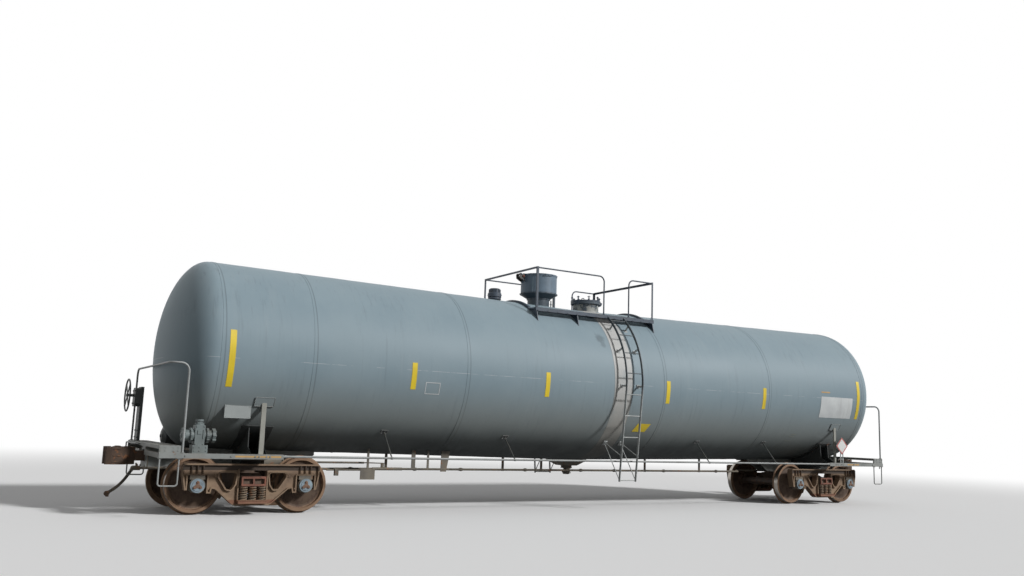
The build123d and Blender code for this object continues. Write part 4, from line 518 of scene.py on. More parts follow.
looks = {
    "rail_paint": dict(
        tones=("9fa3a3", "8d908f"), streaks=0.35, rust=0.18, rustScale=9.0, wear=0.5, dust=0.2,
    ),
    "ladder_paint": dict(tones=("b4b8b8", "a3a7a6"), streaks=0.25, rust=0.12, rustScale=9.0, dust=0.15),
    "frame_paint": dict(
        tones=("8b908f", "777b79"), streaks=0.5, rust=0.22, wear=0.5, dust=0.5, dustHigh=1.5,
    ),
    "brake_iron": dict(
        tones=("6d6961", "524e48"), rust=0.35, rustScale=8.0, dust=0.7, roughness=0.7, bump=0.5,
    ),
    "valve_metal": dict(
        tones=("6e6a62", "57534c"), rust=0.35, rustScale=12.0, dust=0.4, roughness=0.65, bump=0.5,
    ),
    "valve_grey": dict(
        tones=("717b7b", "5b6363"), streaks=0.4, rust=0.16, rustScale=12.0, dust=0.35, bump=0.4,
    ),
    "coupler_iron": dict(
        tones=("523f33", "3d3029"), rust=0.35, rustScale=7.0, dust=0.45, dustColour="7b6a58",
        roughness=0.85, bump=0.6, bumpDepth=0.002,
    ),
    "spring_steel": dict(
        tones=("6d5a4a", "54473c"), rust=0.45, rustScale=9.0, dust=0.5, roughness=0.7, bump=0.4,
    ),
    "bearing_paint": dict(
        tones=("6f6a63", "5a554e"), rust=0.3, rustScale=8.0, dust=0.6, roughness=0.7, bump=0.4,
    ),
    "truck_iron": dict(
        tones=("7b6655", "5d4d41"), rust=0.3, dust=0.6, dustColour="a08c72", dustHigh=1.0,
        roughness=0.8, bump=0.6, bumpDepth=0.002,
    ),
    "sign_paint": dict(tones=("9aa09f", "8d9291"), streaks=0.25, rust=0.08, dust=0.2),
    "hose_rubber": dict(
        tones=("23221f", "1a1918"), dust=0.5, dustColour="6d6253", roughness=0.75, bump=0.3,
    ),
    "stripe_yellow": dict(
        tones=("ecd034", "dfc330"), streaks=0.3, streakScale=14.0, roughness=0.4, bump=0.05,
    ),
    "panel_white": dict(
        tones=("d4d8d8", "c6cacb"), streaks=0.35, streakScale=14.0, roughness=0.45, bump=0.05,
    ),
    "sign_white": dict(tones=("e6e8e6", "dcdedb"), streaks=0.2, roughness=0.45, bump=0.05),
    "sign_red": dict(tones=("c25049", "b35650"), streaks=0.2, roughness=0.45, bump=0.05),
    "stencil_orange": dict(tones=("c9a05f", "b3905f"), streaks=0.3, bump=0.05),
    "stencil_faint": dict(tones=("a9ac98", "989c90"), streaks=0.4, bump=0.05),
    "screw_rust": dict(tones=("5d4a3e", "8a6a56"), rust=0.4, rustScale=20.0, roughness=0.7, bump=0.3),
    "bolt_red": dict(tones=("8c4a3a", "6f4034"), rust=0.3, rustScale=20.0, roughness=0.7),
    "top_dark": dict(tones=("3c4958", "34404d"), streaks=0.3, rust=0.12, rustScale=9.0, wear=0.3),
    "gear_dark": dict(tones=("3f4444", "333838"), streaks=0.3, rust=0.2, rustScale=9.0, dust=0.3),
}
finishes = {name: paintedSteel(name, look) for name, look in looks.items()}

# tank jacket: sheets with lap seams, gently uneven, and the two heads
jacket = {
    "seamX": [-6.18, -3.26, 1.43, 4.53],
    "headSeam": 7.70,
    "lapWidth": 0.060,
    "lapEdge": 0.001,
    "lapHeight": 0.0035,
    "sink": 0.0015,
    "sides": 200,
    "ripple": 0.0012,
    "roughness": 0.50,
    "tones": ("81939c", "899aa2"),
    "bandX": (0.10, 0.56),
    "bandEdge": 0.008,
    # height of a thin pale horizontal line along the jacket
    "paleLineZ": 2.5186,
    "seamHalf": 0.005,
    "seamAside": 0.032,
    # heights over which the grime and the painted shade of the underside thicken
    "grimeAndShadeZ": (1.05, 1.84),
    "dustZ": (1.5, 2.5),
    "spots": [
        # place, size, share and colour of a stain: a scuff by the band, two rusty chips on the head
        ((-0.10, -1.34, 3.44), 0.13, 0.50, "4c565b"),
        ((-0.08, -1.40, 3.30), 0.08, 0.40, "4c565b"),
        ((-8.20, -0.55, 3.30), 0.09, 0.55, "57463c"),
        ((-8.12, -0.72, 2.98), 0.025, 0.8, "2c2a28"),
    ],
}


def layJacketColour(paint):
    # a paler band with painted ladder shadows as dark lines on its edges, a thin pale line, seams, stains,
    # dust, grime and painted shade that thicken below, streaks
    paint.colour = paint.mottled(*jacket["tones"])
    low, high = jacket["bandX"]
    soft = jacket["bandEdge"]
    after = paint.ramp(paint.x, low - soft, low + soft)
    before = paint.ramp(paint.x, high - soft, high + soft, 1.0, 0.0)
    patchy = paint.ramp(paint.noise(2.2, 8.0, 0.7), 0.22, 0.5, 0.35, 0.85)
    paint.lay(paint.times(paint.times(after, before), patchy), "c2c0bc")
    # painted shadows of the ladder: dark lines along both edges of the pale band
    for edge in jacket["bandX"]:
        near = paint.size(paint.minus(paint.x, edge))
        paint.lay(paint.ramp(near, 0.012, 0.005, 0.0, 0.55), "5d6669")
    # a thin pale horizontal line, broken up along the car
    line = paint.ramp(paint.size(paint.minus(paint.z, jacket["paleLineZ"])), 0.007, 0.002)
    broken = paint.ramp(paint.noise(3.0, 6.0, 0.6, (1.0, 0.1, 0.1)), 0.46, 0.56, 0.0, 0.6)
    paint.lay(paint.times(line, broken), "c3c9cc")
    half = jacket["seamHalf"]
    for seam in [-jacket["headSeam"], *jacket["seamX"], jacket["headSeam"]]:
        near = paint.size(paint.minus(paint.x, seam + jacket["seamAside"]))
        paint.lay(paint.ramp(near, 3 * half, half, 0.0, 0.45), "4a5458")
    for place, size, share, tone in jacket["spots"]:
        apart = paint.vector("DISTANCE", paint.place, place)
        ragged = paint.plus(apart, paint.times(paint.noise(9.0, 5.0, 0.6), size))
        paint.lay(paint.ramp(ragged, size * 0.9, size * 1.6, share, 0.0), tone)
    paint.lay(paint.ramp(paint.z, *jacket["dustZ"], 0.45, 0.0), "999589")
    # darker towards the bottom: grime, and painted shade of the tank's underside
    wavy = paint.plus(paint.z, paint.times(paint.noise(1.1, 6.0), 0.30))
    grimeAndShade = paint.ramp(wavy, *jacket["grimeAndShadeZ"], 0.95, 0.0)
    paint.lay(grimeAndShade, "1a1f20")
    paint.streaks("9ea6a9", Scale=7.0, Low=0.52, High=0.85, Amount=0.25)
    paint.streaks("5a6064", Scale=17.0, Low=0.55, High=0.9, Amount=0.5)
    return grimeAndShade


def buildJacketPaint():
    # rougher where it is mottled and where the grime and painted shade lie
    paint = Paint("tank_paint", jacket["tones"], jacket["roughness"], 120.0, 0.8, specular=0.28)
    grimeAndShade = layJacketColour(paint)
    rough = paint.plus(jacket["roughness"], paint.times(paint.grain["Mottle"], 0.10))
    paint.give(paint.inputs["Roughness"], paint.plus(rough, paint.times(grimeAndShade, 0.25)))
    return paint.done(0.12)


def buildBolsterPaint():
    # webs and saddles near-black as painted shade, posts in grey, upper pads within 13 mm of the jacket in
    # its paint
    # painted shade: near-black tones for the webs and saddles
    paint = Paint("bolster_paint", ("232726", "1a1d1d"), 0.6)
    across = paint.size(paint.y)
    along = paint.size(paint.minus(paint.size(paint.x), car["truckX"]))
    post = paint.times(paint.ramp(along, 0.046, 0.042), paint.ramp(across, 1.362, 1.370))
    paint.lay(post, paint.mottled("9c9c94", "8c8c84"))
    paint.rust(9.0, 0.25, 0.1)
    # the webs' painted shade, the grey posts and rust, before the pads take the jacket's paint
    shadedBolster = paint.colour
    slope = paint.times(paint.size(paint.x), tan(car["tankSlope"]))
    down = paint.minus(paint.plus(slope, car["tankAxisZ"]), paint.z)
    onSkin = paint.ramp(paint.reach(across, down), 1.6226, 1.6236, 1.0, 0.0)
    pad = paint.times(onSkin, paint.ramp(paint.z, 1.70, 1.74))
    layJacketColour(paint)
    paint.colour = paint.mix(pad, shadedBolster, paint.colour)
    return paint.done(0.3)


def buildHousingPaint():
    # grey paint, near-black below the body on the bands and the cone as painted shade, rusty on the hinge
    # ears
    paint = Paint("housing_finish", ("6b7d8d", "5d6e7c"), mottle=5.0)
    # painted shade: near-black below the body, over the bands and the cone
    paint.lay(paint.ramp(paint.z, 4.47, 4.40, 0.0, 0.85), "2f3a42")
    paint.streaks("363e43", Scale=26.0, Low=0.45, High=0.8, Amount=0.6)
    rust = paint.use(rustGroup, Scale=14.0, Cover=0.35, Soft=0.2)
    casting = paint.mix(rust["Mask"], "3a3733", rust["Colour"])
    paint.lay(paint.ramp(paint.x, -1.168, -1.172), casting)
    return paint.done(0.25)


def buildNozzlePaint():
    # dark iron with pale blotches on the neck below the flange
    paint = Paint("nozzle_paint", ("4b5660", "3d474f"), 0.6, mottle=7.0)
    blotches = paint.ramp(paint.noise(6.0, 6.0, 0.7), 0.42, 0.56)
    paint.lay(paint.times(paint.ramp(paint.z, 4.312, 4.304), blotches), "a6a7a2")
    paint.rust(12.0, 0.25, 0.1)
    return paint.done(0.3)


def buildLadderPaint():
    # pale paint below, dark above as painted shade on the stiles and rungs
    paint = Paint("ladder_finish", ("b9bcbb", "a3a6a4"), mottle=7.0)
    # painted shade: darker above a wavy height of about 2.35 to 2.95
    wavy = paint.plus(paint.z, paint.times(paint.noise(3.0), 0.5))
    paint.lay(paint.ramp(wavy, 2.35, 2.95), paint.mottled("4d565b", "3a4246"))
    rust = paint.use(rustGroup, Scale=10.0, Cover=0.2, Soft=0.1)
    paint.lay(paint.times(rust["Mask"], 0.8), rust["Colour"])
    return paint.done(0.25)


def buildFrameIron():
    # dusty casting: painted shade in the recess below the top flange, red-brown at the spring seats
    paint = Paint("frame_iron", ("8c7560", "735f4f"), 0.82, 70.0, 5.0)
    paint.rust(5.0, 0.30, 0.2, "5b4334")
    paint.lay(paint.use(dustGroup, Low=0.1, High=1.1, Patch_Scale=3.0, Amount=0.8)["Mask"], "a58f75")
    seat = paint.times(paint.ramp(paint.z, 0.262, 0.250), paint.ramp(paint.z, 0.190, 0.200))
    paint.lay(paint.times(seat, 0.7), "7d4f3d")
    # painted shade: dark on the sideways faces of the recess below the top flange
    recessShade = paint.times(paint.ramp(paint.z, 0.722, 0.734), paint.ramp(paint.z, 0.810, 0.806))
    sideways = paint.ramp(paint.size(paint.normal(1)), 0.3, 0.6, 0.0, 0.9)
    paint.lay(paint.times(recessShade, sideways), "2c2521")
    return paint.done(0.6, 0.002)


def buildBolsterIron():
    # the truck bolster: brown casting, its two ends in worn red-brown primer
    paint = Paint("truck_bolster_iron", ("6b594b", "53453b"), 0.8, 70.0, 6.0)
    paint.lay(paint.ramp(paint.size(paint.y), 1.10, 1.12), paint.mottled("8a5a49", "6f4a3d"))
    paint.rust(9.0, 0.35, 0.15, "4d3529")
    return paint.done(0.6, 0.002)


def buildWheelSteel(name, centreX):
    # rings about the axle by radius: inner plate darkened as painted shade, dusty rim, bright running tread
    paint = Paint(name, ("7a5f4c", "8f7660"), 0.7, 50.0, 7.0)
    paint.rust(9.0, 0.5, 0.2, "5f4334")
    radius = paint.reach(paint.minus(paint.x, centreX), paint.minus(paint.z, car["axleZ"]))
    # painted shade: the inner plate darkened inside the rim
    paint.lay(paint.ramp(radius, 0.36, 0.40, 0.7, 0.0), "2d241e")
    paint.lay(paint.times(paint.ramp(radius, 0.398, 0.408), 0.75), "8b6f58")
    flat = paint.ramp(paint.size(paint.normal(1)), 0.75, 0.45)
    tread = paint.times(paint.ramp(radius, 0.440, 0.448), flat)
    paint.lay(tread, "a9a39b")
    paint.give(paint.inputs["Metallic"], tread)
    paint.give(paint.inputs["Roughness"], paint.minus(0.78, paint.times(tread, 0.5)))
    return paint.done(0.5)


def buildAxleSteel():
    # dark rusty axle, its end caps outside the side frames in bluish paint with chips
    paint = Paint("axle_steel", ("8fa0aa", "6f7c84"), 0.6, 60.0, 9.0)
    paint.rust(22.0, 0.28, 0.12, "6d5443")
    rust = paint.use(rustGroup, Scale=8.0, Cover=0.45, Soft=0.2)
    bare = paint.mix(rust["Mask"], "4c4038", "6b4d3a")
    paint.colour = paint.mix(paint.ramp(paint.size(paint.y), 1.0835, 1.0845), bare, paint.colour)
    return paint.done(0.4)


wheelX = {
    name + number: end * car["truckX"] + way * car["halfWheelbase"]
    for name, end in ends for number, way in (("1", -1), ("2", 1))
}
jacketPaint = buildJacketPaint()
housingPaint = buildHousingPaint()
ladderPaint = buildLadderPaint()
frameIron = buildFrameIron()

# finishes by the start of a node's name, then other looks for single nodes; the rest follow their slots
ownFinishes = {
    "tank_jacket": jacketPaint,
    "body_bolster": buildBolsterPaint(),
    "valve_housing": housingPaint,
    "housing_lid": housingPaint,
    "manway_nozzle": buildNozzlePaint(),
    "ladder_stiles": ladderPaint,
    "ladder_rungs": ladderPaint,
    "side_frames": frameIron,
    "truck_bolster": buildBolsterIron(),
    "axle": buildAxleSteel(),
}
for name, x in wheelX.items():
    ownFinishes["wheels_" + name] = buildWheelSteel("wheel_steel_" + name, x)
nodeLooks = {
    "top_railing": "top_dark",
    "top_platform": "top_dark",
    "relief_valve": "top_dark",
    "manway_cover": "top_dark",
    "handrail_struts": "gear_dark",
    "hand_brake": "gear_dark",
    "control_valve": "valve_grey",
    "air_reservoir": "gear_dark",
}
slotOf = {part["node"]: part["material_slot"] for part in frame["record"]["subparts"]}
for name, node in nodes.items():
    own = [finish for start, finish in ownFinishes.items() if name.startswith(start)]
    node.material_slots[0].material = own[0] if own else finishes[nodeLooks.get(name, slotOf[name])]
print("finishes on", len(nodes), "frame nodes")

# train hoses: one at each end, straight down from the angle cock and forward to its coupling head
hose = {
    "points": [
        (8.715, 0.420, 0.6803), (8.771, 0.420, 0.5833), (8.8368, 0.415, 0.4927),
        (8.9146, 0.405, 0.4121), (9.0052, 0.395, 0.3463),
    ],
    "length": 0.448,
    "diameter": 0.048,
    "clampShares": (0.07, 0.12, 0.86, 0.91),
    "clampRadius": 0.0265,
    "clampWire": 0.0032,
}


def hosePoints(end):
    return [(end * x, end * y, z) for x, y, z in hose["points"]]


def hoseLine(name, end):
    # one smooth spline with the route's own points as its control points
    line = bpy.data.curves.new(name, "CURVE")
    line.dimensions = "3D"
    spline = line.splines.new("NURBS")
    spline.points.add(len(hose["points"]) - 1)
    for point, place in zip(spline.points, hosePoints(end)):
        point.co = (*place, 1.0)
    spline.order_u = 3
    spline.use_endpoint_u = True
    spline.resolution_u = 12
    return line, bpy.data.objects.new(name, line)


def makeHose(name, end):
    line, piece = hoseLine("trainHose_" + name, end)
    line.bevel_depth = hose["diameter"] / 2
    line.bevel_resolution = 5
    line.use_fill_caps = True
    bpy.context.scene.collection.objects.link(piece)
    line.materials.append(finishes["hose_rubber"])
    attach(piece, "car")
    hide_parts("train_hose_" + name)


def hosePlaces(end):
    # the places that the smooth line passes, read from the same spline without its thickness
    holder = hoseLine("hoseLine", end)[1]
    mesh = bpy.data.meshes.new_from_object(holder)
    places = np.array([v.co[:] for v in mesh.vertices])
    bpy.data.objects.remove(holder)
    bpy.data.meshes.remove(mesh)
    return places


def clampShapes(end):
    # rings across the hose: place + radius * (cos t * side + sin t * over)
    path = hosePlaces(end)
    t = np.linspace(0, 2 * pi, 36, endpoint=False)[:, None]
    shapes = []
    for share in hose["clampShares"]:
        index = int(round(share * (len(path) - 2)))
        along = path[index + 1] - path[index]
        along /= np.linalg.norm(along)
        side = np.cross(along, (0, 1, 0))
        side /= np.linalg.norm(side)
        ring = path[index] + hose["clampRadius"] * (np.cos(t) * side + np.sin(t) * np.cross(along, side))
        shapes.append(tubeShape(ring, hose["clampWire"], along, 8, closed=True))
    return shapes


for name, end in ends:
    makeHose(name, end)
    makePiece("hoseClamps_" + name, clampShapes(end), finishes["brake_iron"])
print("train hoses made")


def jacketShell():
    # place = jacketPoint(u, t, lap(u) + ripple(u, t)) for u from mid-car to the head's pole, both ends
    t = np.linspace(0, 2 * pi, jacket["sides"], endpoint=False)
    half, edge = jacket["lapWidth"] / 2, jacket["lapEdge"]
    halves = []
    for end in (1, -1):
        u = np.linspace(0, car["tankTangent"], 46)
        lap = np.zeros_like(u)
        for seam in [abs(x) for x in jacket["seamX"] if x * end > 0] + [jacket["headSeam"]]:
            keep = np.abs(u - seam) > half + 0.01
            u = np.concatenate([u[keep], seam + np.array([-half - edge, -half, half, half + edge])])
            lap = np.concatenate([lap[keep], [0, jacket["lapHeight"], jacket["lapHeight"], 0]])
        order = np.argsort(u)
        bend = np.linspace(0, pi / 2, 26)[1:]
        u = np.concatenate([u[order], car["tankTangent"] + car["headDepth"] * np.sin(bend)])[:, None]
        lap = np.concatenate([lap[order], np.zeros(len(bend))])[:, None]
        ripple = np.sin(u * 5.1 + 2.0 * np.sin(3 * t)) * np.cos(4 * t + u) + 0.6 * np.sin(u * 11.3 + 5 * t)
        ripple *= jacket["ripple"] * np.clip((car["tankTangent"] - u) / 0.5, 0, 1) * np.clip(u / 0.5, 0, 1)
        shape = gridShape(jacketPoint(u, t, lap + ripple - jacket["sink"], end), wrapColumns=True)
        halves.append(shape if end > 0 else flipped(shape))
    return halves


tankSkin = makePiece("tankJacket", jacketShell(), jacketPaint, smoothAngle=25)
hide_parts("tank_jacket")
print("tank jacket made")

# markings: bare stripes, plates and patches, nothing written on them
marks = {
    "lift": 0.0026,
    "stripeHalf": 0.050,
    "stripes": [(7.55, (2.06, 2.97)), (4.35, (2.18, 2.65)), (1.515, (2.18, 2.65))],
    "dataPanel": {"x": (6.23, 7.34), "z": (2.06, 2.55)},
    "leaning": {"x": (0.80, 1.14), "z": (1.575, 1.742), "lean": 0.5},
    "outline": {"x": (-4.11, -3.82), "z": (2.11, 2.32), "line": 0.012},
}


def sidePatch(x, z, side, columns, rows):
    # x as on the -Y side; on the +Y side the same place turned half round
    x = x if side < 0 else (-x[1], -x[0])
    return jacketPatch(x, z, side, marks["lift"], columns, rows)


def buildMarkings():
    # the leaning patch's upper edge is shifted along the car: x + lean * (z - lowest z)
    half, leaning, panel = marks["stripeHalf"], marks["leaning"], marks["dataPanel"]
    (x0, x1), (z0, z1), line = marks["outline"]["x"], marks["outline"]["z"], marks["outline"]["line"]
    edges = [((x0, x1), (z0, z0 + line)), ((x0, x1), (z1 - line, z1))]
    edges += [((x0, x0 + line), (z0, z1)), ((x1 - line, x1), (z0, z1))]
    stripes, panels, outlines = [], [], []
    for side in ways:
        for x, z in marks["stripes"]:
            stripes += [sidePatch((end * x - half, end * x + half), z, side, 4, 20) for end in ways]
        patch = sidePatch(leaning["x"], leaning["z"], side, 10, 8)
        patch[0][:, 0] -= side * leaning["lean"] * (patch[0][:, 2] - leaning["z"][0])
        stripes.append(patch)
        panels.append(sidePatch(panel["x"], panel["z"], side, 24, 12))
        outlines += [sidePatch(x, z, side, 6, 6) for x, z in edges]
    makePiece("safetyStripes", stripes, finishes["stripe_yellow"])
    makePiece("dataPanels", panels, finishes["panel_white"])
    makePiece("outlinedSquares", outlines, finishes["panel_white"])


buildMarkings()
print("markings made")

# coil springs: a helix in each spring group, with a smaller one of the other hand inside
coils = {
    "x": [-0.148, 0.0, 0.148],
    "y": [-0.072, 0.072],
    "low": 0.2436,
    "high": 0.4786,
    "outer": {"radius": 0.0550, "wire": 0.0125, "turns": 6.6, "hand": 1, "steps": 20, "sides": 8},
    "inner": {"radius": 0.0270, "wire": 0.0078, "turns": 9.0, "hand": -1, "steps": 14, "sides": 6},
}


def coilShape(x, y, form):
    # (x, y) + radius * (cos t, hand * sin t), height rising evenly but flat over each end's half turn
    t = np.linspace(0, 2 * pi * form["turns"], int(form["turns"] * form["steps"]) + 1)
    share = np.clip((t - pi) / (t[-1] - 2 * pi), 0, 1)
    low, high = coils["low"] + form["wire"], coils["high"] - form["wire"]
    xs, ys = x + form["radius"] * np.cos(t), y + form["hand"] * form["radius"] * np.sin(t)
    path = np.stack([xs, ys, low + (high - low) * share], axis=-1)
    return tubeShape(path, form["wire"], sides=form["sides"])


for name, end in ends:
    shapes = [
        coilShape(end * car["truckX"] + dx, side * car["journalY"] + dy, coils[which])
        for side in ways for dx in coils["x"] for dy in coils["y"] for which in ("outer", "inner")
    ]
    finish = finishes["spring_steel"]
    springs = makePiece("coilSprings_" + name, shapes, finish, body="truck_" + name)
    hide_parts("truck_springs_" + name)
print("coil springs made")

# bearing end caps: a three-lobed locking plate and three cap screws on each
caps = {
    "face": 1.1220,
    "lobes": (0.056, 0.022),
    "plate": [(-0.008, 1.0), (0.004, 1.0), (0.006, 0.94), (0.006, 0.0)],
    "screwCircle": 0.055,
    "screw": (0.036, 0.011),
}


def capShapes(x):
    # the plate's outline: radius = first + second of the lobes' values * cos 3t
    t = np.linspace(0, 2 * pi, 48, endpoint=False)
    lobes = caps["lobes"][0] + caps["lobes"][1] * np.cos(3 * t)
    shapes = []
    for side in ways:
        centre = (x, side * caps["face"], car["axleZ"])
        shapes.append(turnedShape(caps["plate"], centre, "Y", 48, side, lobes))
        face = side * (caps["face"] + caps["plate"][-1][0])
        places = ringPlaces((x, face, car["axleZ"]), caps["screwCircle"], 3, "Y")[0]
        shapes.append(hexHeads(places, (0, side, 0), *caps["screw"]))
    return shapes


for name, x in wheelX.items():
    makePiece("capScrews_" + name, capShapes(x), finishes["screw_rust"], body="wheelset_" + name)
print("bearing caps dressed")

# valve housing: bolted bands, hinge pin heads, a rolled lid rim with its handles, a pale pipe by the neck
housing = {
    "bands": [
        # height, radius of the band's face, bolts, a head's width and height
        (4.4206, 0.401, 20, 0.022, 0.010),
        (4.3106, 0.249, 12, 0.020, 0.010),
    ],
    "earX": [-1.178, -1.222],
    "earZ": [4.735, 4.700],
    "earY": 0.079,
    "earHead": (0.026, 0.012),
    "pin": (-1.265, 4.8116),
    "pinEnd": [(0.078, 0.018), (0.088, 0.018), (0.093, 0.013)],
    "lidTop": 4.8236,
    "rim": (0.3945, 0.0055),
    "handle": [
        (-0.86, -0.392, 4.812), (-0.86, -0.420, 4.812), (-0.845, -0.434, 4.812),
        (-0.695, -0.434, 4.812), (-0.68, -0.420, 4.812), (-0.68, -0.392, 4.812),
    ],
    "handleRadius": 0.008,
    "bar": {"x": (-1.20, -0.98), "y": (0.040, 0.058), "z": (4.822, 4.836)},
    "hingeBolts": {"place": (-1.04, 0, 4.832), "circle": 0.030, "count": 4, "head": (0.020, 0.009)},
    "pipe": {"x": -0.536, "y": -0.141, "top": 4.300, "radius": 0.015},
    "union": {"z": 4.205, "form": [(0.0, 0.026), (0.022, 0.026)]},
    "latch": [(-1.238, -0.104, 4.752), (-1.196, -0.081, 4.790)],
    "latchHead": (0.020, 0.010),
    "seam": {"radius": 0.387, "angle": 0.9, "z": (4.434, 4.792), "wire": 0.0035},
}
neckWelds = [(car["housingX"], 0.2375, 0.007), (car["manwayX"], 0.288, 0.007), (car["reliefX"], 0.088, 0.006)]


def weldOnTop(x, radius, wire):
    # a bead where a round neck meets the jacket: a circle in plan, its height from the jacket
    t = np.linspace(0, 2 * pi, 72, endpoint=False)
    xs, ys = x + radius * np.cos(t), radius * np.sin(t)
    return tubeShape(np.stack([xs, ys, tankTop(xs, ys)], axis=-1), wire, (0, 0, 1), 8, closed=True)


def buildHousingDetails():
    x = car["housingX"]
    heads = []
    for z, radius, count, *head in housing["bands"]:
        places, outward = ringPlaces((x, 0, z), radius, count, turn=pi / count)
        heads.append(hexHeads(places, outward, *head))
    pinX, pinZ = housing["pin"]
    bar = housing["bar"]
    rim = [ringShape((x, 0, housing["lidTop"]), *housing["rim"], sides=96)]
    for side in ways:
        earY = side * housing["earY"]
        ears = [(earX, earY, earZ) for earX, earZ in zip(housing["earX"], housing["earZ"])]
        heads.append(hexHeads(ears, (0, side, 0), *housing["earHead"]))
        heads.append(capShape(housing["pinEnd"], (pinX, 0, pinZ), "Y", way=side))
        rim.append(tubeShape(np.array(housing["handle"]) * (1, side, 1), housing["handleRadius"], sides=10))
        low, high = zip(bar["x"], [side * y for y in bar["y"]], bar["z"])
        rim.append(boxShape(low, high))
    bolts = housing["hingeBolts"]
    places = ringPlaces(bolts["place"], bolts["circle"], bolts["count"], turn=pi / 4)[0]
    rim.append(hexHeads(places, (0, 0, 1), *bolts["head"]))
    makePiece("housingBolts", heads, finishes["top_dark"])
    makePiece("lidRim", rim, housingPaint, body="housing_lid")

    pipe, union = housing["pipe"], housing["union"]
    pipeX, pipeY = pipe["x"], pipe["y"]
    low = tankTop(pipeX, pipeY) - 0.01
    makePiece("neckPipe", [
        rodShape((pipeX, pipeY, low), (pipeX, pipeY, pipe["top"]), pipe["radius"], 16),
        capShape(union["form"], (pipeX, pipeY, union["z"]), sides=16),
    ], finishes["ladder_paint"])
    low, high = housing["latch"]
    middle = ((low[0] + high[0]) / 2, low[1], (low[2] + high[2]) / 2)
    latch = [boxShape(low, high), hexHeads(middle, (0, -1, 0), *housing["latchHead"])]
    makePiece("hingeLatch", latch, finishes["bolt_red"], bevel=0.003)
    seam = housing["seam"]
    seamX, seamY = x - seam["radius"] * sin(seam["angle"]), -seam["radius"] * cos(seam["angle"])
    welds = [rodShape((seamX, seamY, seam["z"][0]), (seamX, seamY, seam["z"][1]), seam["wire"], 8)]
    welds += [weldOnTop(*weld) for weld in neckWelds]
    makePiece("neckWelds", welds, jacketPaint)


buildHousingDetails()
print("valve housing dressed")

# manway: clamps, nuts and ring eyes round the cover, nuts below the flange
manway = {
    "eyeCircle": 0.308,
    "eyes": 8,
    "flangeLow": 4.3186,
    "coverTop": 4.3996,
    "ringZ": 4.4656,
    "nuts": [(0.0, 0.040, 0.018), (0.026, 0.030, 0.010)],  # height above the cover, width and height
    "clamp": {"inward": 0.055, "outward": 0.020, "up": 0.006, "radius": 0.019},
    "barHalf": 0.034,
    "barRadius": 0.0065,
    "beads": [(4.383, 0.3285, 72), (4.4036, 0.250, 64)],
    "beadWire": 0.006,
    "handle": [
        (0.40, -0.05, 4.418), (0.40, -0.05, 4.450), (0.40, -0.035, 4.462),
        (0.40, 0.035, 4.462), (0.40, 0.05, 4.450), (0.40, 0.05, 4.418),
    ],
    "handleRadius": 0.008,
    "lowNut": (0.036, 0.024),
    "lowBolt": (0.024, 0.012),
    "pin": (0.858, 4.3796),
    "pinEnd": [(0.068, 0.020), (0.078, 0.020), (0.082, 0.014)],
}


def buildManwayDetails():
    x, count, circle, turn = car["manwayX"], manway["eyes"], manway["eyeCircle"], pi / manway["eyes"]
    places, outward = ringPlaces((x, 0, manway["coverTop"]), circle, count, turn=turn)
    clamp = manway["clamp"]
    middle = places + (0, 0, clamp["up"])
    inner, outer = middle - outward * clamp["inward"], middle + outward * clamp["outward"]
    bars = places + (0, 0, manway["ringZ"] - manway["coverTop"])
    across = np.cross(outward, (0, 0, 1)) * manway["barHalf"]
    shapes = [hexHeads(places + (0, 0, up), (0, 0, 1), *nut) for up, *nut in manway["nuts"]]
    shapes += [
        rodShape(inner, outer, clamp["radius"], 4, topScale=0.8, turn=pi / 4),
        rodShape(bars - across, bars + across, manway["barRadius"], 8),
        tubeShape(manway["handle"], manway["handleRadius"], (1, 0, 0), 10),
    ]
    for z, radius, sides in manway["beads"]:
        shapes.append(ringShape((x, 0, z), radius, manway["beadWire"], sides=sides))
    makePiece("coverClamps", shapes, finishes["top_dark"], body="manway_cover")
    low = (x, 0, manway["flangeLow"])
    nuts = [
        hexHeads(ringPlaces(low, circle, count, turn=turn)[0], (0, 0, -1), *manway["lowNut"]),
        hexHeads(ringPlaces(low, circle + 0.004, count)[0], (0, 0, -1), *manway["lowBolt"]),
    ]
    pinX, pinZ = manway["pin"]
    nuts += [capShape(manway["pinEnd"], (pinX, 0, pinZ), "Y", way=side) for side in ways]
    makePiece("nozzleNuts", nuts, finishes["top_dark"])


buildManwayDetails()
print("manway dressed")

# relief valve: clamping studs between its flanges, fins round the cap, heights above the jacket's crown
relief = {
    "crown": 4.1566,
    "studs": 10,
    "studCircle": 0.1270,
    "studRadius": 0.007,
    "flanges": (0.052, 0.084, 0.104),
    "nut": (0.022, 0.014),
    "fins": 14,
    "finCircle": 0.119,
    "finRadius": 0.009,
    "finZ": (0.192, 0.258),
    "band": (0.140, 0.142, 8),
    "bandHead": (0.018, 0.008),
}


def buildReliefDetails():
    x, crown = car["reliefX"], relief["crown"]
    studs = ringPlaces((x, 0, crown), relief["studCircle"], relief["studs"])[0]
    fins = ringPlaces((x, 0, crown), relief["finCircle"], relief["fins"])[0]
    low, middle, high = [(0, 0, z) for z in relief["flanges"]]
    finLow, finHigh = [(0, 0, z) for z in relief["finZ"]]
    height, radius, count = relief["band"]
    places, outward = ringPlaces((x, 0, crown + height), radius, count, turn=0.2)
    makePiece("reliefStuds", [
        rodShape(studs + low, studs + high, relief["studRadius"], 8),
        hexHeads(studs + middle, (0, 0, 1), *relief["nut"]),
        hexHeads(studs + low, (0, 0, -1), *relief["nut"]),
        rodShape(fins + finLow, fins + finHigh, relief["finRadius"], 4),
        hexHeads(places, outward, *relief["bandHead"]),
    ], finishes["top_dark"])


buildReliefDetails()

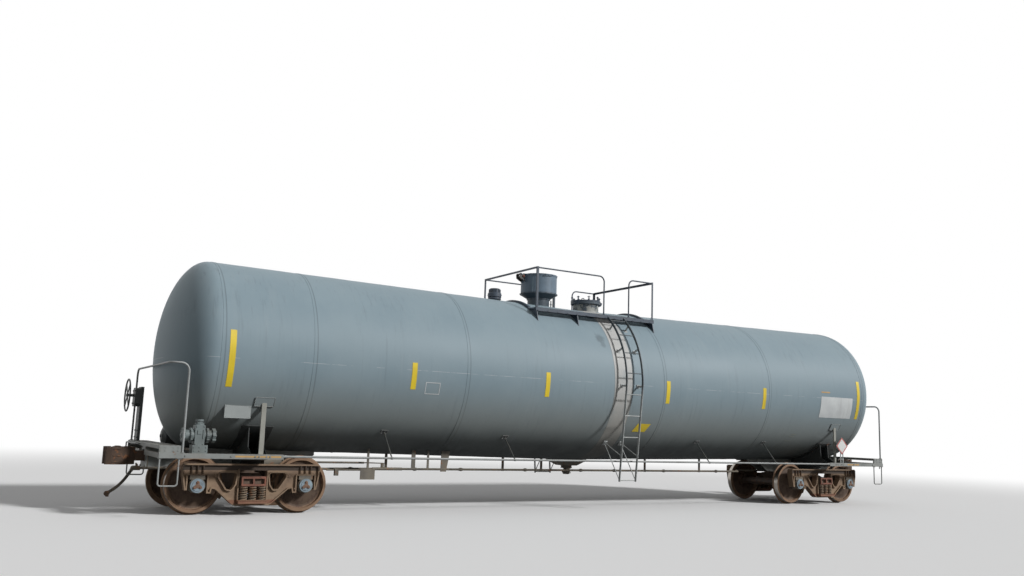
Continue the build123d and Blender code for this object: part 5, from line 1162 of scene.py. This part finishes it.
# top platform: foot plates of the posts and pipes, and bolts along the decks' edges
topDeck = {
    "top": 3.9812,
    "edgeY": 1.150,
    "edgeDown": 0.030,
    "edgeBolts": np.arange(-1.44, 1.5, 0.24),
    "railY": 1.062,
    "postX": 1.463,
    "pipeX": [0.190, 0.850],
    "pipeFoot": [(0.0, 0.038), (0.007, 0.038)],
    "footBoltX": 0.026,
    "postPlate": [(-0.040, -0.040, 0.0), (0.020, 0.020, 0.006)],
    "postBolt": (-0.028, -0.028, 0.006),
    "postOut": 0.021,
    "postBolts": (0.05, 0.11),
    "heads": {
        "edge": (0.020, 0.008),
        "foot": (0.013, 0.006),
        "plate": (0.016, 0.008),
        "post": (0.018, 0.008),
    },
}


def buildDeckDetails():
    top, foot, heads = topDeck["top"], topDeck["pipeFoot"], topDeck["heads"]
    shapes = []
    for side in ways:
        out = (0, side, 0)
        y = side * topDeck["railY"]
        edge = (side * topDeck["edgeY"], top - topDeck["edgeDown"])
        shapes.append(boltRow(topDeck["edgeBolts"], *edge, out, *heads["edge"]))
        for x in topDeck["pipeX"]:
            xs = [x - topDeck["footBoltX"], x + topDeck["footBoltX"]]
            shapes.append(capShape(foot, (x, y, top)))
            shapes.append(boltRow(xs, y, top + foot[-1][0], (0, 0, 1), *heads["foot"]))
        for end in ways:
            post = np.array([end * topDeck["postX"], y, top])
            shapes.append(boxShape(*(post + corner for corner in topDeck["postPlate"])))
            shapes.append(hexHeads(post + topDeck["postBolt"], (0, 0, 1), *heads["plate"]))
            heights = [top + up for up in topDeck["postBolts"]]
            shapes.append(boltRow(post[0], y + side * topDeck["postOut"], heights, out, *heads["post"]))
    makePiece("deckBolts", shapes, finishes["top_dark"])


buildDeckDetails()

# ladders: bolts through the stiles at each stand-off
ladder = {
    "x": (0.274, 0.696),
    "radius": 1.752,
    "angles": [-2.0, 24.0, 44.0],
    "boltApart": 0.026,
    "head": (0.016, 0.008),
}


def buildLadderBolts():
    # place = tank's axis + radius * outward, half the bolts' distance up or down along the stile
    shapes = []
    for side in ways:
        for angle in np.radians(ladder["angles"]):
            out = np.array([0, side * cos(angle), sin(angle)])
            along = np.array([0, -side * sin(angle), cos(angle)]) * ladder["boltApart"] / 2
            middle = (0, 0, car["tankAxisZ"]) + ladder["radius"] * out
            for x, way in zip(ladder["x"], ways):
                places = np.array([middle - along, middle + along]) + (x, 0, 0)
                shapes.append(hexHeads(places, (way, 0, 0), *ladder["head"]))
    makePiece("ladderBolts", shapes, ladderPaint)


buildLadderBolts()
print("relief valve, deck and ladders dressed")

# weld beads round the bolster pads and the struts' pads
pads = {
    "lift": 0.0125,
    "bolster": {"half": 0.160, "z": (1.7746, 1.9146), "wire": 0.0045},
    "struts": {"y": 1.085, "half": 0.060, "high": 0.028, "wire": 0.0035},
}


def padBead(x, half, z, side, wire):
    # a bead round an x and z rectangle, y from the jacket's side
    share = np.linspace(0, 1, 12, endpoint=False)
    forth = np.concatenate([share, np.ones(12), 1 - share, np.zeros(12)])
    xs = x - half + 2 * half * forth
    zs = z[0] + (z[1] - z[0]) * np.roll(forth, 12)
    path = np.stack([xs, side * tankSide(xs, zs, pads["lift"]), zs], axis=-1)
    return tubeShape(path, wire, (0, side, 0.35), 8, closed=True)


def buildPadBeads():
    bolster, strut = pads["bolster"], pads["struts"]
    shapes = []
    for side in ways:
        for end in ways:
            x = end * car["truckX"]
            shapes.append(padBead(x, bolster["half"], bolster["z"], side, bolster["wire"]))
        for x in car["strutX"]:
            middle = axisHeight(x) - sqrt(car["tankRadius"] ** 2 - strut["y"] ** 2)
            z = (middle - strut["high"], middle + strut["high"])
            shapes.append(padBead(x, strut["half"], z, side, strut["wire"]))
    makePiece("padBeads", shapes, finishes["rail_paint"])


buildPadBeads()

# side sills, steps and rails: bolts and small plates at all four corners
corners = {
    "sill": {"x": [6.80, 6.86, 6.98, 7.04, 7.42, 8.12], "y": 1.530, "z": [0.9676], "head": (0.026, 0.011)},
    "panel": {"x": [8.23, 8.30, 8.42, 8.49], "y": 1.514, "z": [1.040, 1.090], "head": (0.018, 0.008)},
    "stepX": [8.205, 8.490],
    "stepZ": (0.9216, 0.9296),
    "stepHalf": (0.030, 0.024),
    "stepBoltX": 0.021,
    "stepHead": (0.014, 0.007),
    "archFoot": [(0.0, 0.034), (0.008, 0.034), (0.012, 0.022)],
    "archOnSill": (8.165, 1.0066),
    "archOnPlatform": (8.455, 1.1206),
}


def buildCornerDetails():
    railY, (halfX, halfY), foot = car["railY"], corners["stepHalf"], corners["archFoot"]
    low, high = corners["stepZ"]
    shapes = []
    for end in ways:
        for side in ways:
            for row in (corners["sill"], corners["panel"]):
                xs = [end * x for x in row["x"]]
                shapes.append(boltRow(xs, side * row["y"], row["z"], (0, side, 0), *row["head"]))
            y = side * railY
            for x in [end * x for x in corners["stepX"]]:
                shapes.append(boxShape((x - halfX, y - halfY, low), (x + halfX, y + halfY, high)))
                xs = [x - corners["stepBoltX"], x + corners["stepBoltX"]]
                shapes.append(boltRow(xs, y, low, (0, 0, -1), *corners["stepHead"]))
        for (x, z), side in ((corners["archOnSill"], end), (corners["archOnPlatform"], -end)):
            shapes.append(capShape(foot, (end * x, side * railY, z)))
    makePiece("cornerBolts", shapes, finishes["frame_paint"])


buildCornerDetails()

# clamps where the struts meet the side handrails, and sockets near the rails' ends
railClamps = {
    "z": 0.9736,
    "radius": 0.0245,
    "head": (0.014, 0.007),
    "clamp": [(-0.022, 0.0225), (-0.019, 0.0245), (0.019, 0.0245), (0.022, 0.0225)],
    "socketX": 6.55,
    "socket": [(-0.03, 0.022), (0.03, 0.026)],
}


def buildRailClamps():
    z, radius = railClamps["z"], railClamps["radius"]
    shapes = []
    for side in ways:
        y = side * car["railY"]
        for x in car["strutX"]:
            shapes.append(capShape(railClamps["clamp"], (x, y, z), "X", 20))
            shapes.append(hexHeads((x, y + side * radius, z), (0, side, 0), *railClamps["head"]))
        for end in ways:
            shapes.append(capShape(railClamps["socket"], (end * railClamps["socketX"], y, z), "X", 20))
    makePiece("railClamps", shapes, finishes["rail_paint"])


buildRailClamps()
print("pads, corners and handrails dressed")

# trucks: ribs in the frames' recess, column bolts, retainer bolts below the bearings, spring-seat lip
truck = {
    "face": 1.0785,
    "floor": 1.0365,
    "rib": {"x": [0.800, 0.889, 0.978], "z": (0.668, 0.806), "half": 0.009, "sunk": 0.003, "below": 0.008},
    "column": {"x": 0.253, "z": [0.36, 0.46, 0.56, 0.64], "head": (0.026, 0.016)},
    "key": {"x": [0.705, 1.070], "z": 0.430, "below": 0.022, "head": (0.024, 0.020)},
    "boss": (0.600, 0.640),
    "bossForm": [(0.0, 0.030), (0.026, 0.026), (0.030, 0.0)],
    "lip": {"x": 0.238, "y": (1.1435, 1.1535), "z": (0.2366, 0.2566)},
}


def buildTruckDetails(name, end):
    centre = end * car["truckX"]
    rib, column, key, lip = truck["rib"], truck["column"], truck["key"], truck["lip"]
    bossX, bossZ = truck["boss"]
    shapes = []
    for side in ways:
        out = (0, side, 0)
        face, floor = side * truck["face"], side * truck["floor"]
        for way in ways:
            for x in rib["x"]:
                low = (centre + way * x - rib["half"], floor - side * rib["sunk"], rib["z"][0])
                high = (centre + way * x + rib["half"], face - side * rib["below"], rib["z"][1])
                shapes.append(boxShape(low, high))
            shapes.append(boltRow(centre + way * column["x"], floor, column["z"], out, *column["head"]))
            boss = (centre + way * bossX, floor - side * 0.002, bossZ)
            shapes.append(capShape(truck["bossForm"], boss, "Y", 20, side))
            keyX = [centre + way * x for x in key["x"]]
            shapes.append(boltRow(keyX, face - side * key["below"], key["z"], out, *key["head"]))
        low, high = ((centre + way * lip["x"], side * y, z) for way, y, z in zip(ways, lip["y"], lip["z"]))
        shapes.append(boxShape(low, high))
    makePiece("frameRibs_" + name, shapes, frameIron, body="truck_" + name, bevel=0.002)


for name, end in ends:
    buildTruckDetails(name, end)
print("trucks dressed")

# couplers: pin heads, lock lifter and cast ribs on each head, drawn for end a
coupler = {
    "pin": (8.870, -0.140),
    "top": 1.0446,
    "low": 0.7646,
    "topHead": [(0.0, 0.052), (0.006, 0.052), (0.0115, 0.036)],
    "lowHead": [(0.0, 0.050), (0.010, 0.044)],
    "lifter": [(8.690, 0.020, 1.040), (8.790, 0.064, 1.0545)],
    "lifterPin": {"x": 8.740, "y": 0.042, "form": [(0.0, 0.030), (0.009, 0.027)]},
    "sidePlate": [(8.640, -0.168, 0.860), (8.700, -0.158, 0.950)],
    "ribs": {"start": (8.860, 0.233), "stop": (8.985, 0.235), "z": (0.800, 0.9046, 1.009), "radius": 0.008},
}


def buildCouplerDetails(name, end):
    x, y = coupler["pin"]
    ribs, pin = coupler["ribs"], coupler["lifterPin"]
    starts, stops = ([(*ribs[which], z) for z in ribs["z"]] for which in ("start", "stop"))
    shapes = [
        capShape(coupler["topHead"], (x, y, coupler["top"]), "Z", 28),
        capShape(coupler["lowHead"], (x, y, coupler["low"]), "Z", 28, -1),
        boxShape(*coupler["lifter"]),
        capShape(pin["form"], (pin["x"], pin["y"], coupler["top"]), "Z", 20),
        boxShape(*coupler["sidePlate"]),
        rodShape(starts, stops, ribs["radius"], 8),
    ]
    shapes = shapes if end > 0 else [halfTurned(shape) for shape in shapes]
    finish, body = finishes["coupler_iron"], "coupler_" + name
    makePiece("couplerCasting_" + name, shapes, finish, body, bevel=0.002)


for name, end in ends:
    buildCouplerDetails(name, end)

# strikers: bolts on their faces, and the angle cocks' handles
striker = {
    "face": 8.475,
    "bolts": {"y": [-0.205, 0.205], "z": [0.74, 0.84, 0.94, 1.04], "head": (0.030, 0.014)},
    "handle": [
        (8.640, 0.420, 0.7860), (8.655, 0.420, 0.796), (8.655, 0.440, 0.800),
        (8.655, 0.520, 0.800), (8.655, 0.550, 0.790),
    ],
    "handleRadius": 0.008,
}


def buildStrikerDetails():
    bolts, handle = striker["bolts"], np.array(striker["handle"])
    shapes = []
    for end in ways:
        shapes.append(boltRow(end * striker["face"], bolts["y"], bolts["z"], (end, 0, 0), *bolts["head"]))
        shapes.append(tubeShape(handle * (end, end, 1), striker["handleRadius"], (1, 0, 0.2), 10))
    makePiece("strikerBolts", shapes, finishes["brake_iron"])


buildStrikerDetails()
print("couplers and strikers dressed")

# control valve: bolted lobed covers, a bolted cap and two air pipes to the sill
valve = {
    "place": (-7.915, -1.368, 1.2816),
    "covers": [
        # offsets along the car, circle of the lobes, their radius, count; bolts on the side away from it
        (-0.255, -0.215, 0.096, 0.020, 9),
        (0.199, 0.249, 0.092, 0.021, 8),
        (-0.135, -0.105, 0.106, 0.014, 10),
        (0.109, 0.141, 0.106, 0.014, 10),
    ],
    "hub": [(0.0, 0.046), (0.012, 0.042), (0.016, 0.020), (0.022, 0.018)],
    "hubFaces": (-0.255, 0.249),
    "cap": {"up": 0.19, "circle": 0.062, "count": 6, "head": (0.020, 0.012)},
    "rod": {"low": (0.05, -0.101, -0.05), "high": (0.05, -0.101, 0.09), "radius": 0.010},
    "plate": [(-0.040, -0.112, 0.020), (0.020, -0.098, 0.080)],
    "bodyBolts": {"x": 0.058, "y": -0.100, "z": 0.140, "head": (0.024, 0.012)},
    "footBolts": {"x": (-0.080, 0.0, 0.100), "y": -1.500, "z": (1.045, 1.100), "head": (0.020, 0.009)},
    "pipes": [(-7.860, 1.045, 0.016), (-7.960, 1.040, 0.013)],
    "pipeRun": [(-1.262, 0.02), (-1.18, 0.02), (-1.08, 0.0), (-0.60, 0.0), (-0.40, -0.01), (-0.160, -0.01)],
    "unions": [(-1.245, 0.02), (-0.180, -0.01)],
}


def buildValveDetails():
    x, y, z = place = np.array(valve["place"])
    shapes = []
    for low, high, circle, radius, count in valve["covers"]:
        way = 1 if low > 0 else -1
        places = ringPlaces(place + (low, 0, 0), circle, count, axis="X")[0]
        length = (high - low, 0, 0)
        shapes.append(rodShape(places, places + length, radius, 12))
        shapes.append(hexHeads(places + length if way > 0 else places, (way, 0, 0), radius * 1.1, 0.008))
    for way, face in zip(ways, valve["hubFaces"]):
        shapes.append(capShape(valve["hub"], place + (face, 0, 0), "X", way=way))
    cap, rod, body, foot = valve["cap"], valve["rod"], valve["bodyBolts"], valve["footBolts"]
    capBolts = ringPlaces(place + (0, 0, cap["up"]), cap["circle"], cap["count"])[0]
    bodyX, bodyZ = [x - body["x"], x + body["x"]], [z - body["z"], z + body["z"]]
    shapes += [
        hexHeads(capBolts, (0, 0, 1), *cap["head"]),
        rodShape(place + rod["low"], place + rod["high"], rod["radius"], 10),
        boltRow(bodyX, y + body["y"], bodyZ, (0, -1, 0), *body["head"]),
        boltRow([x + dx for dx in foot["x"]], foot["y"], foot["z"], (0, -1, 0), *foot["head"]),
        boxShape(*(place + corner for corner in valve["plate"])),
    ]
    makePiece("valveCovers", shapes, finishes["valve_grey"], bevel=0.0015)
    pipes = []
    for pipeX, pipeZ, radius in valve["pipes"]:
        union = [(-0.012, radius * 1.6), (0.012, radius * 1.6)]
        run = [(pipeX, runY, pipeZ + up) for runY, up in valve["pipeRun"]]
        pipes.append(tubeShape(run, radius, (0, 0, 1), 12))
        pipes += [capShape(union, (pipeX, unionY, pipeZ + up), "Y", 6) for unionY, up in valve["unions"]]
    makePiece("valvePipes", pipes, finishes["brake_iron"])


buildValveDetails()

# air reservoir: straps over its carriers with their bolts, end plugs
reservoir = {
    "y": 1.150,
    "z": 1.2136,
    "straps": [-7.850, -7.380],
    "strap": [(-0.024, 0.183), (-0.024, 0.190), (0.024, 0.190), (0.024, 0.183), (-0.024, 0.183)],
    "ends": [-8.020, -7.180],
    "strapBolt": {"out": 0.191, "down": 0.02, "head": (0.020, 0.02)},
    "plug": [(0.0, 0.030), (0.018, 0.030)],
}


def buildReservoirDetails():
    y, z, bolt = reservoir["y"], reservoir["z"], reservoir["strapBolt"]
    ys = [y - bolt["out"], y + bolt["out"]]
    shapes = []
    for x, way in zip(reservoir["ends"], ways):
        shapes.append(capShape(reservoir["plug"], (x, y, z), "X", 6, way))
    for x in reservoir["straps"]:
        shapes.append(turnedShape(reservoir["strap"], (x, y, z), "X", 56))
        shapes.append(boltRow(x, ys, z - bolt["down"], (0, 0, -1), *bolt["head"]))
    makePiece("reservoirStraps", shapes, finishes["gear_dark"])


buildReservoirDetails()
print("control valve and reservoir dressed")

# hand brake: chain down from its case, bolts on the case and the column, the wheel's hub
handBrake = {
    "y": 1.200,
    "z": 1.9136,
    "case": {"face": -8.530, "y": (-0.09, 0.09), "z": (-0.14, 0.08), "head": (0.026, 0.012)},
    "column": {"face": -8.440, "y": (-0.12, 0.12), "z": (1.18, 1.30), "head": (0.024, 0.012)},
    "chain": {"x": -8.492, "y": 1.260, "z": (1.150, 1.715), "link": 0.021, "wire": 0.0045},
    "hubX": -8.649,
    "hub": [(0.0, 0.030), (0.006, 0.028), (0.010, 0.0)],
}


def buildHandBrakeDetails():
    # a link: place + size * (0.6 * cos t * across, sin t * up), every second one turned a quarter
    y, z, chain = handBrake["y"], handBrake["z"], handBrake["chain"]
    low, high = chain["z"]
    count = int((high - low) / (chain["link"] * 1.5))
    t = np.linspace(0, 2 * pi, 14, endpoint=False)[:, None]
    shapes = []
    for number in range(count):
        middle = (chain["x"], chain["y"], low + (number + 0.5) * (high - low) / count)
        across = np.array([1.0, 0.0, 0.0] if number % 2 else [0.0, 1.0, 0.0])
        path = middle + chain["link"] * (0.6 * np.cos(t) * across + np.sin(t) * (0, 0, 1))
        shapes.append(tubeShape(path, chain["wire"], (across[1], -across[0], 0.0), 6, closed=True))
    for part, base in ((handBrake["case"], z), (handBrake["column"], 0.0)):
        ys, zs = [y + dy for dy in part["y"]], [base + dz for dz in part["z"]]
        shapes.append(boltRow(part["face"], ys, zs, (-1, 0, 0), *part["head"]))
    shapes.append(capShape(handBrake["hub"], (handBrake["hubX"], y, z), "X", 24, -1))
    makePiece("brakeChain", shapes, finishes["gear_dark"])


buildHandBrakeDetails()

# signs: red and white faces on the diamonds, rivets and a raised edge on the boards
signs = {
    "x": 7.014,
    "z": 1.4056,
    "side": 0.290,
    "faceY": 1.526,
    "faces": [("diamondBorders", "sign_red", 0.97, 0.0015), ("diamondFaces", "sign_white", 0.80, 0.0025)],
    "rivetUp": 0.115,
    "rivet": (0.014, 0.005),
    "board": {"x": 7.330, "y": 1.351, "z": 1.6736, "wide": 0.420, "tall": 0.205, "inset": 0.02},
    "wire": 0.0035,
}


def buildSignFaces():
    # a face is a plate of four corners turned about Y
    x, z, board, up = signs["x"], signs["z"], signs["board"], signs["rivetUp"]
    wide, tall, inset = board["wide"] / 2, board["tall"] / 2, board["inset"]
    for name, finish, share, thick in signs["faces"]:
        half = share * signs["side"] / sqrt(2)
        plate = [(0.0, half), (thick, half), (thick, 0.0)]
        faces = [turnedShape(plate, (end * x, -end * signs["faceY"], z), "Y", 4, -end) for end in ways]
        makePiece(name, faces, finishes[finish], smoothAngle=10)
    rivets = []
    for end in ways:
        y = -end * (signs["faceY"] + 0.002)
        rivets.append(boltRow(end * x, y, [z - up, z + up], (0, -end, 0), *signs["rivet"]))
        middle = np.array([end * board["x"], end * board["y"], board["z"]])
        xs = middle[0] + np.array([inset - wide, wide - inset])
        zs = middle[2] + np.array([inset - tall, tall - inset])
        rivets.append(boltRow(xs, middle[1], zs, (0, end, 0), *signs["rivet"]))
        loop = middle + np.array([(-wide, 0, -tall), (wide, 0, -tall), (wide, 0, tall), (-wide, 0, tall)])
        rivets.append(rodShape(loop, np.roll(loop, -1, axis=0), signs["wire"], 8))
    makePiece("signRivets", rivets, finishes["sign_paint"])


buildSignFaces()
print("hand brake and signs dressed")

# brake pipe: unions along the straight run, clamps at its hangers
brakePipe = {
    "y": -0.200,
    "z": 0.7236,
    "unions": [-4.9, -3.6, -2.6, -1.1, 0.3, 1.2, 2.6, 4.2],
    "union": [
        (-0.045, 0.025), (-0.018, 0.027), (-0.018, 0.033),
        (0.018, 0.033), (0.018, 0.027), (0.045, 0.025),
    ],
    "hangers": [-4.200, -1.640, -0.710, 2.050, 3.670],
    "clamp": {"half": 0.017, "radius": 0.0235, "wire": 0.004},
    "bolt": (0, -0.008, 0.045),
    "head": (0.020, 0.010),
}


def buildPipeDetails():
    y, z, clamp = brakePipe["y"], brakePipe["z"], brakePipe["clamp"]
    shapes = [capShape(brakePipe["union"], (x, y, z), "X", 12) for x in brakePipe["unions"]]
    for x in brakePipe["hangers"]:
        for centre in ((x - clamp["half"], y, z), (x + clamp["half"], y, z)):
            shapes.append(ringShape(centre, clamp["radius"], clamp["wire"], "X", 28, 8))
        bolt = np.add((x, y, z), brakePipe["bolt"])
        shapes.append(hexHeads(bolt, (0, -1, 0), *brakePipe["head"]))
    makePiece("pipeUnions", shapes, finishes["brake_iron"])


buildPipeDetails()

# bottom outlet: cap bolts, a cap chain eye and the operating handle
outlet = {
    "x": 0.060,
    "z": 0.680,
    "radius": 0.078,
    "capHead": (0.022, 0.012),
    "flange": {"z": 0.770, "radius": 0.108, "head": (0.022, 0.010)},
    "bolts": 8,
    "handle": [
        (0.06, -0.11, 0.80), (0.06, -0.17, 0.80), (0.05, -0.21, 0.79),
        (0.00, -0.225, 0.76), (-0.10, -0.225, 0.74),
    ],
    "handleRadius": 0.011,
    "eye": {"place": (0.150, -0.02, 0.665), "radius": 0.016, "wire": 0.004},
    "skid": {"x": [-0.30, -0.10, 0.22, 0.42], "y": 0.150, "z": 0.905, "head": (0.022, 0.010)},
}


def buildOutletDetails():
    x, flange, eye, skid = outlet["x"], outlet["flange"], outlet["eye"], outlet["skid"]
    places, outward = ringPlaces((x, 0, outlet["z"]), outlet["radius"], outlet["bolts"], turn=0.2)
    below = ringPlaces((x, 0, flange["z"]), flange["radius"], outlet["bolts"], turn=0.2)[0]
    shapes = [
        hexHeads(places, outward, *outlet["capHead"]),
        hexHeads(below, (0, 0, -1), *flange["head"]),
        tubeShape(outlet["handle"], outlet["handleRadius"], (0, 0, 1), 10),
        ringShape(eye["place"], eye["radius"], eye["wire"], "Y", 20, 8),
    ]
    for side in ways:
        shapes.append(boltRow(skid["x"], side * skid["y"], skid["z"], (0, side, 0), *skid["head"]))
    makePiece("outletBolts", shapes, finishes["brake_iron"])


buildOutletDetails()
print("brake pipe and outlet dressed")

# small blank stencils and marks
stencils = {
    "orange": [((6.23, 6.53), (2.640, 2.668))],
    "faint": [((5.56, 5.72), (1.632, 1.642)), ((5.52, 5.70), (1.588, 1.596)), ((5.46, 5.68), (1.482, 1.490))],
    "sill": {"x": [(-7.36, -6.62), (7.20, 7.62)], "y": (1.5302, 1.5312), "z": (0.954, 0.982)},
}


def buildStencils():
    sill = stencils["sill"]
    orange, faint = [
        [sidePatch(x, z, side, 6, 4) for side in ways for x, z in stencils[kind]]
        for kind in ("orange", "faint")
    ]
    for x in sill["x"]:
        plate = boxShape(*((at, -y, z) for at, y, z in zip(x, sill["y"], sill["z"])))
        orange += [plate, halfTurned(plate)]
    makePiece("sillStencils", orange, finishes["stencil_orange"], smoothAngle=20)
    makePiece("faintMarks", faint, finishes["stencil_faint"])


buildStencils()
print("stencils made")

stage = {
    "floorTone": 0.90,
    "bounceTone": 0.07,
    "floorReach": 90.0,
    "blend": (14.0, 34.0),
    "worldLight": 0.26,
    "sun": 2.85,
    "sunSoft": 7.0,
    "sunPlace": (0.80, -1.0, 0.72),
}


def blended(tree, share, first, second, last):
    # two shaders mixed by a share, into the output node
    both = tree.add("MixShader", Fac=share)
    for socket, shader in zip(both.inputs[1:], (first, second)):
        tree.give(socket, shader.outputs[0])
    tree.give(last.inputs[0], both.outputs[0])


def buildLight():
    # a white world to the camera and to mirrors, a weaker one as light, and one soft sun
    scene = bpy.context.scene
    scene.view_settings.view_transform = "Standard"
    scene.world = bpy.data.worlds.new("studio")
    scene.world.use_nodes = True
    scene.world.node_tree.nodes.clear()
    tree = Nodes(scene.world.node_tree)
    rays = tree.add("LightPath").outputs
    glossy = tree.maths("MAXIMUM", rays["Is Glossy Ray"], rays["Is Transmission Ray"])
    seen = tree.maths("MAXIMUM", rays["Is Camera Ray"], glossy)
    light = tree.add("Background", Color=(1, 1, 1, 1), Strength=stage["worldLight"])
    white = tree.add("Background", Color=(1, 1, 1, 1), Strength=1.0)
    blended(tree, seen, light, white, tree.add("OutputWorld"))
    sun = bpy.data.objects.new("sun", bpy.data.lights.new("sun", "SUN"))
    sun.data.energy = stage["sun"]
    sun.data.angle = radians(stage["sunSoft"])
    sun.rotation_euler = Vector(stage["sunPlace"]).to_track_quat("Z", "Y").to_euler()
    scene.collection.objects.link(sun)


def buildFloor():
    # plain pale floor: darker for bounced light, and plain white far from the object
    reach = stage["floorReach"]
    mesh = bpy.data.meshes.new("floor")
    corners = [(-reach, -reach, 0), (reach, -reach, 0), (reach, reach, 0), (-reach, reach, 0)]
    mesh.from_pydata(corners, [], [(0, 1, 2, 3)])
    floor = bpy.data.objects.new("floor", mesh)
    bpy.context.scene.collection.objects.link(floor)
    paint = Finish("floor_finish", 0.95, 0.1)
    rays = paint.add("LightPath").outputs
    seen = paint.maths("MAXIMUM", rays["Is Camera Ray"], rays["Is Glossy Ray"])
    bounced, plain = [(stage[tone],) * 3 + (1.0,) for tone in ("bounceTone", "floorTone")]
    paint.give(paint.inputs["Base Color"], paint.mix(seen, bounced, plain))
    away = paint.times(seen, paint.ramp(paint.vector("LENGTH", paint.place), *stage["blend"]))
    glow = paint.add("Emission", Color=(1, 1, 1, 1), Strength=1.0)
    blended(paint, away, paint.shader, glow, paint.tree.nodes["Material Output"])
    mesh.materials.append(paint.finish)


buildLight()
buildFloor()
print("stage and camera set")
